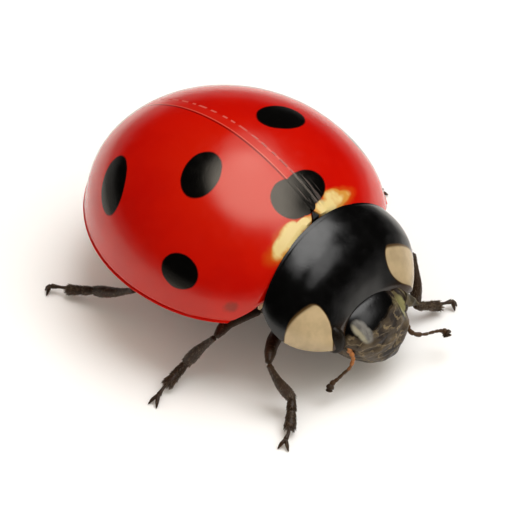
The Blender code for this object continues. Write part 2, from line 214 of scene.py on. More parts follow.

# Tones that stay fixed: the wing cases.
# Painted highlight: the warmer red where the dome's highlight falls.
HIGHLIGHT_TINT_RED = (0.74, 0.012, 0.0004)
# Painted sheen: the lighter red of the strip beside the suture.
SEAM_SHEEN_RED = (0.80, 0.030, 0.016)
STRAW_ORANGE = (0.80, 0.36, 0.060)
STRAW_EDGE = (0.74, 0.12, 0.008)
STITCH_DARK = (0.36, 0.001, 0.001)
# Painted highlight: the pale rear of the stitched line, where it catches the light.
STITCH_HIGHLIGHT = (0.85, 0.17, 0.13)
# Painted shade in the gap of the suture, then the painted highlight of its lit edge.
SUTURE_SHADE = (0.34, 0.002, 0.001)
SUTURE_LIT = (0.88, 0.17, 0.12)
SMUDGE_BROWN = (0.10, 0.020, 0.010)
SCRAPE_GREY = (0.12, 0.085, 0.080)
# The pronotum.
RIM_BROWN = (0.055, 0.026, 0.010)
CORNER_EDGE = (0.11, 0.060, 0.020)
# The head, its marks and the eyes.
# Painted reflection in and beside the left eye: dark, olive and bright streaks.
SHEEN_DARK = (0.026, 0.018, 0.014)
SHEEN_OLIVE = (0.19, 0.155, 0.080)
SHEEN_BRIGHT = (0.38, 0.36, 0.16)
MARK_DARK = (0.13, 0.125, 0.115)
MARK_GREY = (0.27, 0.26, 0.235)
# Painted highlight along the pale mark.
MARK_HIGHLIGHT = (0.42, 0.385, 0.27)
FACE_BROWN = (0.062, 0.042, 0.022)
FACE_TAN = (0.118, 0.082, 0.042)
FACE_DARK = (0.017, 0.010, 0.006)
VEIN_TAN = (0.30, 0.22, 0.11)
CHEEK_DARK = (0.050, 0.040, 0.022)
CHEEK_OLIVE = (0.15, 0.12, 0.065)
EYE_DARK = (0.004, 0.003, 0.002)
EYE_BROWN = (0.020, 0.014, 0.009)
# Legs, antennae, belly and hairs.
LEG_RUSSET = (0.046, 0.021, 0.009)
LEG_SPECK = (0.110, 0.068, 0.036)
# Painted shade of the left antenna's base.
FEELER_SHADED = (0.075, 0.035, 0.012)
FEELER_STEM = (0.070, 0.034, 0.014)
FEELER_CLUB = (0.038, 0.022, 0.012)
FEELER_SPECK = (0.09, 0.050, 0.022)
BELLY_BROWN = (0.030, 0.018, 0.010)
HAIR_DARK = (0.045, 0.028, 0.015)
HAIR_TAN = (0.18, 0.13, 0.08)

VIEW_AZIMUTH, VIEW_ELEVATION = -47.06, 43.43
VIEW_DISTANCE = 88.0
VIEW_AIM = (-0.341, -0.988, 1.475)
VIEW_LENS, VIEW_SENSOR = 314.8, 36.0
FLOOR_REACH = 1.5
# The soft lamps: azimuth, elevation, reach of the outer and the inner edge in degrees, and strength.
LAMPS = (
    (68.0, 73.0, 27.0, 14.0, 4.45),
    (28.0, 47.0, 17.0, 6.0, 2.4),
    (112.0, 56.0, 15.0, 4.0, 1.4),
)
# The fills, one for everything and one for the floor alone: azimuth, elevation, strength and colour.
FILLS = {
    "fill": (-60.0, 50.0, 0.6, (1.0, 0.84, 0.68)),
    "floor_fill": (-40.0, 60.0, 1.75, (1.0, 0.90, 0.76)),
}


class LadybirdSizes(bpy.types.PropertyGroup):
    """Sizes of the ladybird's pieces."""

    case_thickness: FloatProperty(
        name="Wing Case Thickness", description="Thickness of each wing case at its rim",
        default=0.5 * MM, min=0.0, unit="LENGTH", precision=6,
    )
    rim_bead: FloatProperty(
        name="Rim Bead", description="How far the bead along a wing case's side rim stands out",
        default=0.014 * MM, min=0.0, unit="LENGTH", precision=6,
    )
    edge_round: FloatProperty(
        name="Edge Rounding", description="Radius of the edges of the wing cases and the pronotum",
        default=0.016 * MM, min=0.0, unit="LENGTH", precision=6,
    )
    femur_width: FloatProperty(
        name="Femur Width", description="Greatest width of an upper leg",
        default=0.28 * MM, min=0.0, unit="LENGTH", precision=6,
    )
    tibia_width: FloatProperty(
        name="Tibia Width", description="Width of a lower leg at the ankle",
        default=0.235 * MM, min=0.0, unit="LENGTH", precision=6,
    )
    feeler_width: FloatProperty(
        name="Antenna Width", description="Width of an antenna between its base and its club",
        default=0.08 * MM, min=0.0, unit="LENGTH", precision=6,
    )
    hair_length: FloatProperty(
        name="Hair Length", description="Length of the longest hairs on the legs",
        default=0.075 * MM, min=0.0, unit="LENGTH", precision=6,
    )
    hair_count: IntProperty(
        name="Hairs per Leg", description="Number of hairs on each leg", default=1500, min=0,
    )
    spot_scale: FloatProperty(
        name="Spot Scale", description="Size of the black spots, 1 as modelled",
        default=1.0, min=0.0, subtype="FACTOR",
    )


class LadybirdColours(bpy.types.PropertyGroup):
    """Colours of the ladybird's finishes."""

    red: FloatVectorProperty(
        name="Wing Case Red", description="Ground colour of the wing cases",
        default=(0.73, 0.0035, 0.0001), subtype="COLOR", min=0.0, max=1.0,
    )
    black: FloatVectorProperty(
        name="Black", description="Spots, pronotum and scutellum",
        default=(0.0012, 0.0011, 0.0010), subtype="COLOR", min=0.0, max=1.0,
    )
    cream: FloatVectorProperty(
        name="Cream", description="Pale corners of the pronotum",
        default=(0.68, 0.515, 0.29), subtype="COLOR", min=0.0, max=1.0,
    )
    straw: FloatVectorProperty(
        name="Straw", description="Bright patches beside the scutellum",
        default=(1.0, 0.79, 0.34), subtype="COLOR", min=0.0, max=1.0,
    )
    leg: FloatVectorProperty(
        name="Leg Brown", description="Dark brown of the legs",
        default=(0.034, 0.018, 0.008), subtype="COLOR", min=0.0, max=1.0,
    )
    feeler: FloatVectorProperty(
        name="Antenna Orange", description="Orange brown of the antennae's base",
        default=(0.60, 0.23, 0.07), subtype="COLOR", min=0.0, max=1.0,
    )
    floor: FloatVectorProperty(
        name="Floor", description="Plain floor under the animal",
        default=(0.88, 0.90, 0.92), subtype="COLOR", min=0.0, max=1.0,
    )


# Shapes of the body.

def signed_power(value, exponent):
    return math.copysign(abs(value) ** exponent, value)


def smooth_step(low, high, value):
    """0 below low and 1 above high, with an eased way between. Low may be the larger."""
    share = min(max((value - low) / (high - low), 0.0), 1.0)
    return share * share * (3.0 - 2.0 * share)


def bump_at(value, middle, width):
    """A soft bump of height 1, round a middle value."""
    return math.exp(-(((value - middle) / width) ** 2))


def bow(value, middle, front_reach, front_power, rear_reach, rear_power):
    """Share of the full size at a place along the body: 1 at the middle and 0 at the ends."""
    reach, power = (front_reach, front_power) if value < middle else (rear_reach, rear_power)
    share = min(abs(value - middle) / reach, 1.0)
    return (1.0 - share ** power) ** (1.0 / power)


def dome_width(y, inset):
    shrink = (HALF_WIDTH - inset) / HALF_WIDTH
    return (HALF_WIDTH - inset) * bow(
        y, WIDEST_Y, FRONT_REACH * shrink, FRONT_POWER, REAR_REACH - inset, REAR_POWER
    )


def dome_height(y, inset):
    return (CROWN - inset) * bow(
        y, HIGHEST_Y, CROWN_FRONT_REACH, CROWN_FRONT_POWER, CROWN_REAR_REACH - inset, CROWN_REAR_POWER
    )


def dome_point(y, turn, inset):
    """A point of the dome. Turn is 0 on the middle line and a quarter turn at the side rim."""
    return Vector((
        dome_width(y, inset) * signed_power(math.sin(turn), 2.0 / ARCH_POWER),
        y,
        RIM_Z + dome_height(y, inset) * abs(math.cos(turn)) ** (2.0 / ARCH_POWER),
    ))


def dome_over(x, y):
    """The point of the dome above a place on the floor."""
    share = min(abs(x) / dome_width(y, 0.0), 1.0)
    turn = math.asin(share ** (0.5 * ARCH_POWER))
    return dome_point(y, math.copysign(turn, x), 0.0)


def case_front(share):
    """Front edge of the wing cases, from the suture (0) to the rounded shoulder (1)."""
    corner = max((share - SHOULDER_SHARE) / (1.0 - SHOULDER_SHARE), 0.0)
    bowed = CASE_FRONT_Y - CASE_FRONT_BOW * math.sin(math.pi * share ** 1.5)
    return bowed + SHOULDER_ROUNDING * corner ** 2


def rim_flare(spot, bead):
    """How far the side rim turns out: a hollow flange that ends in a groove and a fine bead."""
    height = spot.z - RIM_Z
    flange = (LIP_WIDTH - bead) * max(1.0 - height / FLARE_HEIGHT, 0.0) ** 2
    profile = bead * (bump_at(height, 0.010, 0.016) - bump_at(height, 0.046, 0.014))
    outwards = Vector((spot.x, spot.y - WIDEST_Y, 0.0)).normalized()
    return outwards * (flange + profile)


def quadratic(points, share):
    """A smooth curve from the first point to the last, pulled towards the middle one."""
    a, b, c = (Vector(point) for point in points)
    return a * (1 - share) ** 2 + b * 2 * share * (1 - share) + c * share ** 2


def pronotum_point(across, along, inset):
    """A point of the pronotum's top, from side to side and from its rear edge to its front edge."""
    ridge_y, ridge_z = quadratic(RIDGE, along)
    side_x, side_z = quadratic(SIDE, along)
    side_y = SIDE_Y[0] + (SIDE_Y[1] - SIDE_Y[0]) * along
    arch = PRONOTUM_ARCH[0] + (PRONOTUM_ARCH[1] - PRONOTUM_ARCH[0]) * min(2.0 * along, 1.0)
    turn = math.pi * (across - 0.5)
    lean = math.sin(turn) ** 2
    return Vector((
        (side_x - inset) * math.sin(turn),
        ridge_y + (side_y - ridge_y) * lean,
        side_z + (ridge_z - inset - side_z) * max(math.cos(turn), 0.0) ** arch,
    ))


# Making pieces.

def finish(name, bm, material, nodes=(), bevel=0.0):
    """Turns a mesh drawn in millimetres on the plan into a piece of a named material."""
    bmesh.ops.recalc_face_normals(bm, faces=bm.faces)
    bmesh.ops.scale(bm, vec=(MM, MM, MM), verts=bm.verts)
    bmesh.ops.translate(bm, vec=PLAN_ORIGIN, verts=bm.verts)
    mesh = bpy.data.meshes.new(name)
    bm.to_mesh(mesh)
    bm.free()
    mesh.shade_smooth()
    mesh.set_sharp_from_angle(angle=math.radians(50))
    mesh.materials.append(bpy.data.materials[material])
    obj = bpy.data.objects.new(name, mesh)
    bpy.context.scene.collection.objects.link(obj)
    if bevel:
        edge = obj.modifiers.new("Rounded_Edges", "BEVEL")
        edge.width = bevel
        edge.segments = 3
        edge.limit_method = "ANGLE"
        edge.angle_limit = math.radians(50)
    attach(obj, "root")
    if nodes:
        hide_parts(*nodes)


def keep_side(bm, point, normal):
    """Cuts the solid along a plane, keeps the side that the normal points away from, and closes it."""
    everything = bm.verts[:] + bm.edges[:] + bm.faces[:]
    bmesh.ops.bisect_plane(
        bm, geom=everything, dist=1e-6, plane_co=point, plane_no=normal, clear_outer=True
    )
    bmesh.ops.holes_fill(bm, edges=[edge for edge in bm.edges if edge.is_boundary], sides=0)


def shell(across, along, outer, inner):
    """A plate between two surfaces, each given by a function of two shares from 0 to 1."""
    bm = bmesh.new()
    bmesh.ops.create_grid(bm, x_segments=across, y_segments=along, size=0.5)
    outer_verts = bm.verts[:]
    grown = bmesh.ops.extrude_face_region(bm, geom=bm.faces[:])["geom"]
    inner_verts = [item for item in grown if isinstance(item, bmesh.types.BMVert)]
    for verts, surface in ((outer_verts, outer), (inner_verts, inner)):
        for vert in verts:
            vert.co = surface(vert.co.x + 0.5, vert.co.y + 0.5)
    bmesh.ops.remove_doubles(bm, verts=bm.verts, dist=1e-4)
    return bm


def ball(bm, steps, rings):
    """Adds a unit ball with its poles on the Y axis, and returns its vertices."""
    upright = Matrix.Rotation(math.radians(90), 4, "X")
    return bmesh.ops.create_uvsphere(
        bm, u_segments=steps, v_segments=rings, radius=1.0, matrix=upright
    )["verts"]


class Limb:
    """One length of a leg, an antenna or a palp: a smooth path with a half-width all along it."""

    def __init__(self, path, widths, flatness=1.0, roughness=0.0, cap=0.10):
        self.path = [Vector(point) for point in path]
        self.widths = widths
        self.flatness = flatness
        self.roughness = roughness
        self.cap = cap

    def centre(self, share):
        """Catmull-Rom curve through the path."""
        spans = len(self.path) - 1
        place = min(max(share, 0.0), 1.0) * spans
        index = min(int(place), spans - 1)
        b, c = self.path[index], self.path[index + 1]
        a = self.path[index - 1] if index > 0 else b * 2 - c
        d = self.path[index + 2] if index + 2 <= spans else c * 2 - b
        t = place - index
        return 0.5 * (
            b * 2 + (c - a) * t + (a * 2 - b * 5 + c * 4 - d) * t ** 2 + (b * 3 - a - c * 3 + d) * t ** 3
        )

    def half_width(self, share):
        """Eased between the given (share, half-width) pairs."""
        for (low, first), (high, second) in zip(self.widths, self.widths[1:]):
            if share <= high:
                return first + (second - first) * smooth_step(low, high, share)
        return self.widths[-1][1]

    def skin(self, share, turn):
        """Place on the skin, the direction straight out, and the direction along the limb."""
        along = (self.centre(min(share + 0.02, 1.0)) - self.centre(max(share - 0.02, 0.0))).normalized()
        sideways = along.cross(Vector((0.0, 0.0, 1.0)))
        if sideways.length < 0.05:
            sideways = along.cross(Vector((0.0, 1.0, 0.0)))
        sideways.normalize()
        upwards = sideways.cross(along)
        out = sideways * math.cos(turn) + upwards * math.sin(turn) * self.flatness
        width = self.half_width(share)
        end = min(share, 1.0 - share)
        if end < self.cap:
            width *= math.sqrt(max(1.0 - (1.0 - end / self.cap) ** 2, 0.0))
        place = self.centre(share) + out * width
        if self.roughness:
            place += out * self.roughness * noise.noise(place * 14.0)
        return place, out.normalized(), along

    def add_to(self, bm, steps=18, rings=26):
        """Draws a ball out along the limb."""
        verts = bmesh.ops.create_uvsphere(bm, u_segments=steps, v_segments=rings, radius=1.0)["verts"]
        for vert in verts:
            share = math.acos(min(max(-vert.co.z, -1.0), 1.0)) / math.pi
            vert.co = self.skin(share, math.atan2(vert.co.y, vert.co.x))[0]
        return verts


# Making materials.

def feed(tree, socket, value):
    """Links a socket to another one, or sets it to a plain value."""
    if isinstance(value, bpy.types.NodeSocket):
        tree.links.new(value, socket)
    else:
        socket.default_value = value


def place(tree, kind, inputs=None, **settings):
    """Adds a node with its settings and its inputs, which are values or other nodes' outputs."""
    node = tree.nodes.new(kind)
    for key, value in settings.items():
        setattr(node, key, value)
    for key, value in (inputs or {}).items():
        feed(tree, node.inputs[key], value)
    return node


def calc(tree, operation, *values):
    return place(tree, "ShaderNodeMath", dict(enumerate(values)), operation=operation).outputs[0]


def times(tree, first, second):
    return calc(tree, "MULTIPLY", first, second)


def away_from(tree, value, middle):
    return calc(tree, "ABSOLUTE", calc(tree, "SUBTRACT", value, middle))


def vector_calc(tree, operation, *values):
    node = place(tree, "ShaderNodeVectorMath", dict(enumerate(values)), operation=operation)
    return node.outputs["Value" if operation in ("LENGTH", "DOT_PRODUCT") else "Vector"]


def scaled(tree, vector, share):
    node = place(tree, "ShaderNodeVectorMath", {0: vector, "Scale": share}, operation="SCALE")
    return node.outputs["Vector"]


def split(tree, vector):
    return place(tree, "ShaderNodeSeparateXYZ", {"Vector": vector}).outputs


def eased(tree, value, low, high, to_low=0.0, to_high=1.0):
    """Eases a value from one range to another."""
    node = place(tree, "ShaderNodeMapRange", {
        "Value": value, "From Min": low, "From Max": high, "To Min": to_low, "To Max": to_high,
    }, interpolation_type="SMOOTHSTEP")
    return node.outputs["Result"]


def chosen(tree, share, first, second):
    """One value or another."""
    return place(tree, "ShaderNodeMix", {0: share, 2: first, 3: second}, data_type="FLOAT").outputs[0]


def rgba(colour):
    """Gives a plain colour its fourth part, and leaves a socket as it is."""
    return colour if isinstance(colour, bpy.types.NodeSocket) else (*colour, 1.0)


def mixed(tree, share, first, second):
    """One colour over another."""
    node = place(tree, "ShaderNodeMix", {0: share, 6: rgba(first), 7: rgba(second)}, data_type="RGBA")
    return node.outputs[2]


def tint(colour, share):
    return [share * part for part in colour]


def mottle(tree, position, scale, detail=3.0, stretch=None):
    """A noise from 0 to 1, stretched along the axes if asked."""
    if stretch:
        position = vector_calc(tree, "MULTIPLY", position, stretch)
    node = place(tree, "ShaderNodeTexNoise", {"Vector": position, "Scale": scale, "Detail": detail})
    return node.outputs["Fac"]


def new_group(name, inputs, outputs):
    """An empty node group with its named inputs and outputs."""
    tree = bpy.data.node_groups.new(name, "ShaderNodeTree")
    for label, value in inputs.items():
        kind = "NodeSocketVector" if isinstance(value, tuple) else "NodeSocketFloat"
        tree.interface.new_socket(label, in_out="INPUT", socket_type=kind).default_value = value
    for label, kind in outputs.items():
        tree.interface.new_socket(label, in_out="OUTPUT", socket_type=kind)
    return tree, tree.nodes.new("NodeGroupInput").outputs, tree.nodes.new("NodeGroupOutput").inputs


def use_group(tree, name, inputs):
    node = tree.nodes.new("ShaderNodeGroup")
    node.node_tree = bpy.data.node_groups[name]
    for key, value in inputs.items():
        feed(tree, node.inputs[key], value)
    return node.outputs


def build_plan_group():
    """Turns Object coordinates into millimetres on the plan."""
    tree, given, out = new_group("Plan_Position", {"Position": ORIGIN}, {"Plan": "NodeSocketVector"})
    moved = vector_calc(tree, "SUBTRACT", given["Position"], PLAN_ORIGIN)
    feed(tree, out["Plan"], vector_calc(tree, "MULTIPLY", moved, (1.0 / MM,) * 3))


def build_mark_group():
    """A rounded mark painted on the shell, with an edge that may wander a little."""
    tree, given, out = new_group("Painted_Mark", {
        "Position": ORIGIN, "Middle": ORIGIN, "Turn": ORIGIN, "Radii": (1.0, 1.0, 1.0),
        "Softness": 0.05, "Wander": 0.02, "Wander Scale": 3.0,
    }, {"Mask": "NodeSocketFloat"})
    drift = place(tree, "ShaderNodeTexNoise", {
        "Vector": given["Position"], "Scale": given["Wander Scale"], "Detail": 2.0,
    }).outputs["Color"]
    drift = scaled(tree, vector_calc(tree, "SUBTRACT", drift, (0.5, 0.5, 0.5)), given["Wander"])
    local = place(tree, "ShaderNodeMapping", {
        "Vector": vector_calc(tree, "ADD", given["Position"], drift),
        "Location": given["Middle"], "Rotation": given["Turn"], "Scale": given["Radii"],
    }, vector_type="TEXTURE").outputs["Vector"]
    outside = calc(tree, "ADD", 1.0, given["Softness"])
    inside = calc(tree, "SUBTRACT", 1.0, given["Softness"])
    feed(tree, out["Mask"], eased(tree, vector_calc(tree, "LENGTH", local), outside, inside))


def build_relief_group():
    """The fine relief of a beetle's shell: broad swells, small pits and a trace of grain."""
    tree, given, out = new_group("Shell_Relief", {
        "Position": ORIGIN, "Swell": 0.01, "Swell Scale": 1.2, "Pit Depth": 0.001, "Pit Scale": 14.0,
        "Grain": 0.0005,
    }, {"Height": "NodeSocketFloat", "Wear": "NodeSocketFloat"})
    cells = place(tree, "ShaderNodeTexVoronoi", {
        "Vector": given["Position"], "Scale": given["Pit Scale"],
    }).outputs["Distance"]
    height = times(tree, mottle(tree, given["Position"], given["Swell Scale"], 1.0), given["Swell"])
    height = calc(tree, "MULTIPLY_ADD", eased(tree, cells, 0.05, 0.34), given["Pit Depth"], height)
    grain = mottle(tree, given["Position"], 60.0)
    feed(tree, out["Height"], calc(tree, "MULTIPLY_ADD", grain, given["Grain"], height))
    feed(tree, out["Wear"], mottle(tree, given["Position"], 5.0, 6.0))


def new_material(name):
    """A material's tree, its shader and the plan position on its surface."""
    material = bpy.data.materials.new(name)
    material.use_nodes = True
    tree = material.node_tree
    coordinates = place(tree, "ShaderNodeTexCoord").outputs["Object"]
    plan = use_group(tree, "Plan_Position", {"Position": coordinates})["Plan"]
    return tree, tree.nodes["Principled BSDF"], plan


def dress(tree, shader, colour, roughness, height=None, reflection=0.5):
    """Gives the shader its colour, roughness, relief in millimetres and strength of reflection."""
    feed(tree, shader.inputs["Base Color"], colour)
    feed(tree, shader.inputs["Roughness"], roughness)
    if height is not None:
        bump = place(tree, "ShaderNodeBump", {"Height": height, "Strength": 1.0, "Distance": MM})
        feed(tree, shader.inputs["Normal"], bump.outputs["Normal"])
    shader.inputs["Specular IOR Level"].default_value = reflection


def spot_frame(x, y, heading):
    """Middle and turn of a mark that lies on the dome: its X along the heading, its Z straight out."""
    step = 0.02
    sideways = dome_over(x + step, y) - dome_over(x - step, y)
    backwards = dome_over(x, y + step) - dome_over(x, y - step)
    out = sideways.cross(backwards).normalized()
    ahead = Vector((math.cos(math.radians(heading)), math.sin(math.radians(heading)), 0.0))
    ahead = (ahead - out * ahead.dot(out)).normalized()
    return dome_over(x, y), Matrix((ahead, out.cross(ahead), out)).transposed().to_euler()


def mark(tree, position, middle, turn, radii, softness, wander, scale=3.0):
    return use_group(tree, "Painted_Mark", {
        "Position": position, "Middle": middle, "Turn": turn, "Radii": radii,
        "Softness": softness, "Wander": wander, "Wander Scale": scale,
    })["Mask"]


def painted(tree, position, patch, grow, softness=0.045, wander=0.035, scale=2.6):
    """One of the wing cases' spots or patches, larger or smaller than listed."""
    (x, y), length, width, heading = patch
    radii = (length * grow, width * grow, 0.5)
    return mark(tree, position, *spot_frame(x, y, heading), radii, softness, wander, scale)


def any_of(tree, masks):
    """The strongest of several masks."""
    total = masks[0]
    for other in masks[1:]:
        total = calc(tree, "MAXIMUM", total, other)
    return total


def shell_red(tree, plan, x, colours):
    """Mottled red, warmer where the highlight falls on the near side of the dome, a painted highlight,
    and lighter beside the suture, a painted sheen.
    """
    red = mixed(tree, eased(tree, mottle(tree, plan, 0.9), 0.35, 0.7), tint(colours.red, 0.92),
                (colours.red[0], colours.red[1] * 1.6, colours.red[2]))
    # A painted highlight: the red turns warmer where the dome's highlight falls on the near side.
    highlight_tint = mark(tree, plan, dome_over(-0.75, -0.9), ORIGIN, (1.0, 1.4, 1.6), 0.75, 0.3, 0.8)
    red = mixed(tree, highlight_tint, red, HIGHLIGHT_TINT_RED)
    # A painted sheen: a lighter strip beside the suture on the left case, where it catches the light.
    seam_sheen = times(tree, eased(tree, x, 0.24, 0.20), eased(tree, x, 0.02, 0.05))
    return mixed(tree, times(tree, seam_sheen, 0.35), red, SEAM_SHEEN_RED)


def straw_over(tree, plan, red, colours):
    """Straw patches over the red, with a brighter core and an orange edge."""
    straw, core, halo = (
        any_of(tree, [painted(tree, plan, patch, *edge) for patch in STRAW_PATCHES])
        for edge in ((1.0, 0.14, 0.13, 2.2), (0.76, 0.5, 0.13, 2.2), (1.25, 0.3, 0.2, 3.0))
    )
    patchy = eased(tree, mottle(tree, plan, 1.6, 3.0, (1.5, 1.0, 1.0)), 0.25, 0.85)
    patchy = calc(tree, "ADD", patchy, times(tree, core, 0.42))
    tone = mixed(tree, eased(tree, patchy, 0.35, 0.85), STRAW_ORANGE, colours.straw)
    return mixed(tree, straw, mixed(tree, times(tree, halo, 0.8), red, STRAW_EDGE), tone)


def stitched_line(tree, plan, x, y):
    """Mask of the broken line that runs beside the suture on the left wing case."""
    jitter = times(tree, mottle(tree, plan, 3.0, 2.0), 9.0)
    dash = calc(tree, "SINE", calc(tree, "MULTIPLY_ADD", y, 24.0, jitter))
    dash = times(tree, eased(tree, dash, -0.5, 0.1), eased(tree, y, -1.95, -1.85))
    return times(tree, eased(tree, away_from(tree, x, STITCH_X), 0.030, 0.012), dash)


def suture_over(tree, x, y, stitch, colour):
    """The stitched line with its painted highlight at the rear, the suture's painted shade and the
    painted highlight of its lit edge, over a colour.
    """
    # The line is dark at the front and turns to a painted highlight towards the rear, where it catches
    # the light.
    tone = mixed(tree, eased(tree, y, -0.9, 0.2), STITCH_DARK, STITCH_HIGHLIGHT)
    colour = mixed(tree, times(tree, stitch, 0.85), colour, tone)
    # Painted shade along the gap of the suture.
    dark = times(tree, eased(tree, calc(tree, "ABSOLUTE", x), 0.024, 0.014), 0.8)
    colour = mixed(tree, dark, colour, SUTURE_SHADE)
    lit = times(tree, eased(tree, away_from(tree, x, 0.036), 0.018, 0.006), 0.6)
    return mixed(tree, lit, colour, SUTURE_LIT)


def wing_case_material(sizes, colours):
    """Glossy red with black spots, straw patches at the front and a stitched line by the suture."""
    tree, shader, plan = new_material("wing_case_red")
    x, y, z = split(tree, plan)
    folded = place(tree, "ShaderNodeCombineXYZ", {
        "X": calc(tree, "ABSOLUTE", x), "Y": y, "Z": z,
    }).outputs["Vector"]
    black = any_of(tree, [
        painted(tree, position, patch, sizes.spot_scale)
        for position, patches in ((folded, SPOTS), (plan, SHARED_SPOT)) for patch in patches.values()
    ])
    colour = straw_over(tree, plan, shell_red(tree, plan, x, colours), colours)
    smudge = mark(tree, plan, *spot_frame(-2.2, -2.06, 0.0), (0.13, 0.10, 0.3), 0.5, 0.10, 8.0)
    colour = mixed(tree, times(tree, smudge, 0.55), colour, SMUDGE_BROWN)
    stitch = stitched_line(tree, plan, x, y)
    colour = mixed(tree, black, suture_over(tree, x, y, stitch, colour), colours.black)
    scrape = eased(tree, mottle(tree, plan, 2.0, 5.0, (14.0, 0.7, 0.7)), 0.52, 0.64)
    scrape = times(tree, scrape, mark(tree, plan, *MARKS["scrape"]))
    colour = mixed(tree, times(tree, scrape, 0.5), colour, SCRAPE_GREY)
    fine = use_group(tree, "Shell_Relief", {
        "Position": plan, "Swell": 0.008, "Swell Scale": 1.1,
        "Pit Depth": 0.0005, "Pit Scale": 15.0, "Grain": 0.0002,
    })
    height = calc(tree, "ADD", fine["Height"], eased(tree, x, 0.20, 0.26, 0.0, 0.006))
    height = calc(tree, "MULTIPLY_ADD", stitch, -0.0015, height)
    height = calc(tree, "MULTIPLY_ADD", scrape, 0.0015, height)
    dull = eased(tree, fine["Wear"], 0.35, 0.75, 0.16, 0.22)
    dull = calc(tree, "MULTIPLY_ADD", black, -0.03, dull)
    dull = calc(tree, "MULTIPLY_ADD", scrape, 0.2, dull)
    dress(tree, shader, colour, dull, height)
    shader.inputs["Specular Tint"].default_value = (1.0, 0.90, 0.76, 1.0)


def black_material(colours):
    """Glossy black of the scutellum."""
    tree, shader, plan = new_material("glossy_black")
    fine = use_group(tree, "Shell_Relief", {
        "Position": plan, "Swell": 0.006, "Pit Depth": 0.001, "Pit Scale": 18.0,
    })
    colour = mixed(tree, fine["Wear"], colours.black, tint(colours.black, 2.2))
    dress(tree, shader, colour, eased(tree, fine["Wear"], 0.3, 0.8, 0.18, 0.30), fine["Height"])


def pronotum_material(colours):
    """Glossy black with a pale corner at each side, its cream dimmed on the far corner and low down as
    painted shade, and brown low on the sides.
    """
    tree, shader, plan = new_material("pronotum_black")
    x, y, z = split(tree, plan)
    pale = []
    for side, (middle, radii, edge, slope) in PALE_CORNERS.items():
        rounded = mark(tree, plan, (*middle, 1.7), ORIGIN, (*radii, 3.0), 0.05, 0.03)
        line = calc(tree, "MULTIPLY_ADD", x, side * slope, edge[1] - edge[0] * side * slope)
        ahead = eased(tree, calc(tree, "SUBTRACT", line, y), -0.05, 0.07)
        pale.append(times(tree, rounded, ahead))
    pale = any_of(tree, pale)
    # Painted shade: the cream is dimmer on the far corner and towards the bottom.
    far = times(tree, eased(tree, x, -0.2, 0.2, 1.0, 0.84), eased(tree, z, 1.38, 1.62, 0.80, 1.03))
    blotch = eased(tree, mottle(tree, plan, 4.0, 5.0), 0.3, 0.7)
    cream = scaled(tree, mixed(tree, blotch, tint(colours.cream, 0.82), colours.cream), far)
    low = times(tree, eased(tree, z, 1.80, 1.45), 0.8)
    colour = mixed(tree, low, colours.black, RIM_BROWN)
    colour = mixed(tree, eased(tree, pale, 0.02, 0.45), colour, CORNER_EDGE)
    colour = mixed(tree, eased(tree, pale, 0.40, 0.85), colour, cream)
    fine = use_group(tree, "Shell_Relief", {
        "Position": plan, "Swell": 0.018, "Swell Scale": 1.6,
        "Pit Depth": 0.0005, "Pit Scale": 13.0, "Grain": 0.0003,
    })
    dress(tree, shader, colour, eased(tree, fine["Wear"], 0.3, 0.8, 0.17, 0.27), fine["Height"])


def painted_eye_sheen(tree, plan, colour):
    """Painted reflection: olive and dark streaks inside the left eye, over a colour."""
    streak = eased(tree, mottle(tree, plan, 2.4, 4.0, (4.5, 1.0, 1.0)), 0.44, 0.58)
    tone = mixed(tree, streak, SHEEN_DARK, SHEEN_OLIVE)
    tone = mixed(tree, mark(tree, plan, *MARKS["sheen_bright"]), tone, SHEEN_BRIGHT)
    return mixed(tree, mark(tree, plan, *MARKS["olive"]), colour, tone)


def pale_mark_over(tree, plan, colour):
    """The grey mark inside the right eye, with a cream streak along it as a painted highlight, over a
    colour.
    """
    turned = Matrix.Rotation(PALE_MARK_TURN[2], 3, "Z") @ Matrix.Rotation(PALE_MARK_TURN[0], 3, "X")
    half = turned @ Vector((0.0, PALE_MARK_SHIFT, 0.0))
    middles = (Vector(PALE_MARK_MIDDLE) + half, Vector(PALE_MARK_MIDDLE) - half)
    bright = any_of(tree, [
        mark(tree, plan, middle, PALE_MARK_TURN, (0.125, 0.185, 0.25), 0.25, 0.05, 4.0)
        for middle in middles
    ])
    grain = eased(tree, mottle(tree, plan, 5.0, 4.0, (3.0, 1.0, 1.0)), 0.30, 0.70)
    tone = mixed(tree, grain, MARK_DARK, MARK_GREY)
    tone = mixed(tree, mark(tree, plan, *MARKS["mark_highlight"]), tone, MARK_HIGHLIGHT)
    return mixed(tree, bright, colour, tone)


def face_mask(tree, plan):
    """1 on the wrinkled face and 0 on the smooth crown, with a wandering border."""
    x, y, z = split(tree, plan)
    down = calc(tree, "MULTIPLY_ADD", mottle(tree, plan, 3.0), 0.24, calc(tree, "ADD", z, y))
    edge = eased(tree, x, -0.25, 0.35, -2.52, -2.28)
    edge = calc(tree, "ADD", edge, eased(tree, x, -0.56, -0.72, 0.0, 0.26))
    return eased(tree, calc(tree, "SUBTRACT", down, edge), 0.07, -0.16)


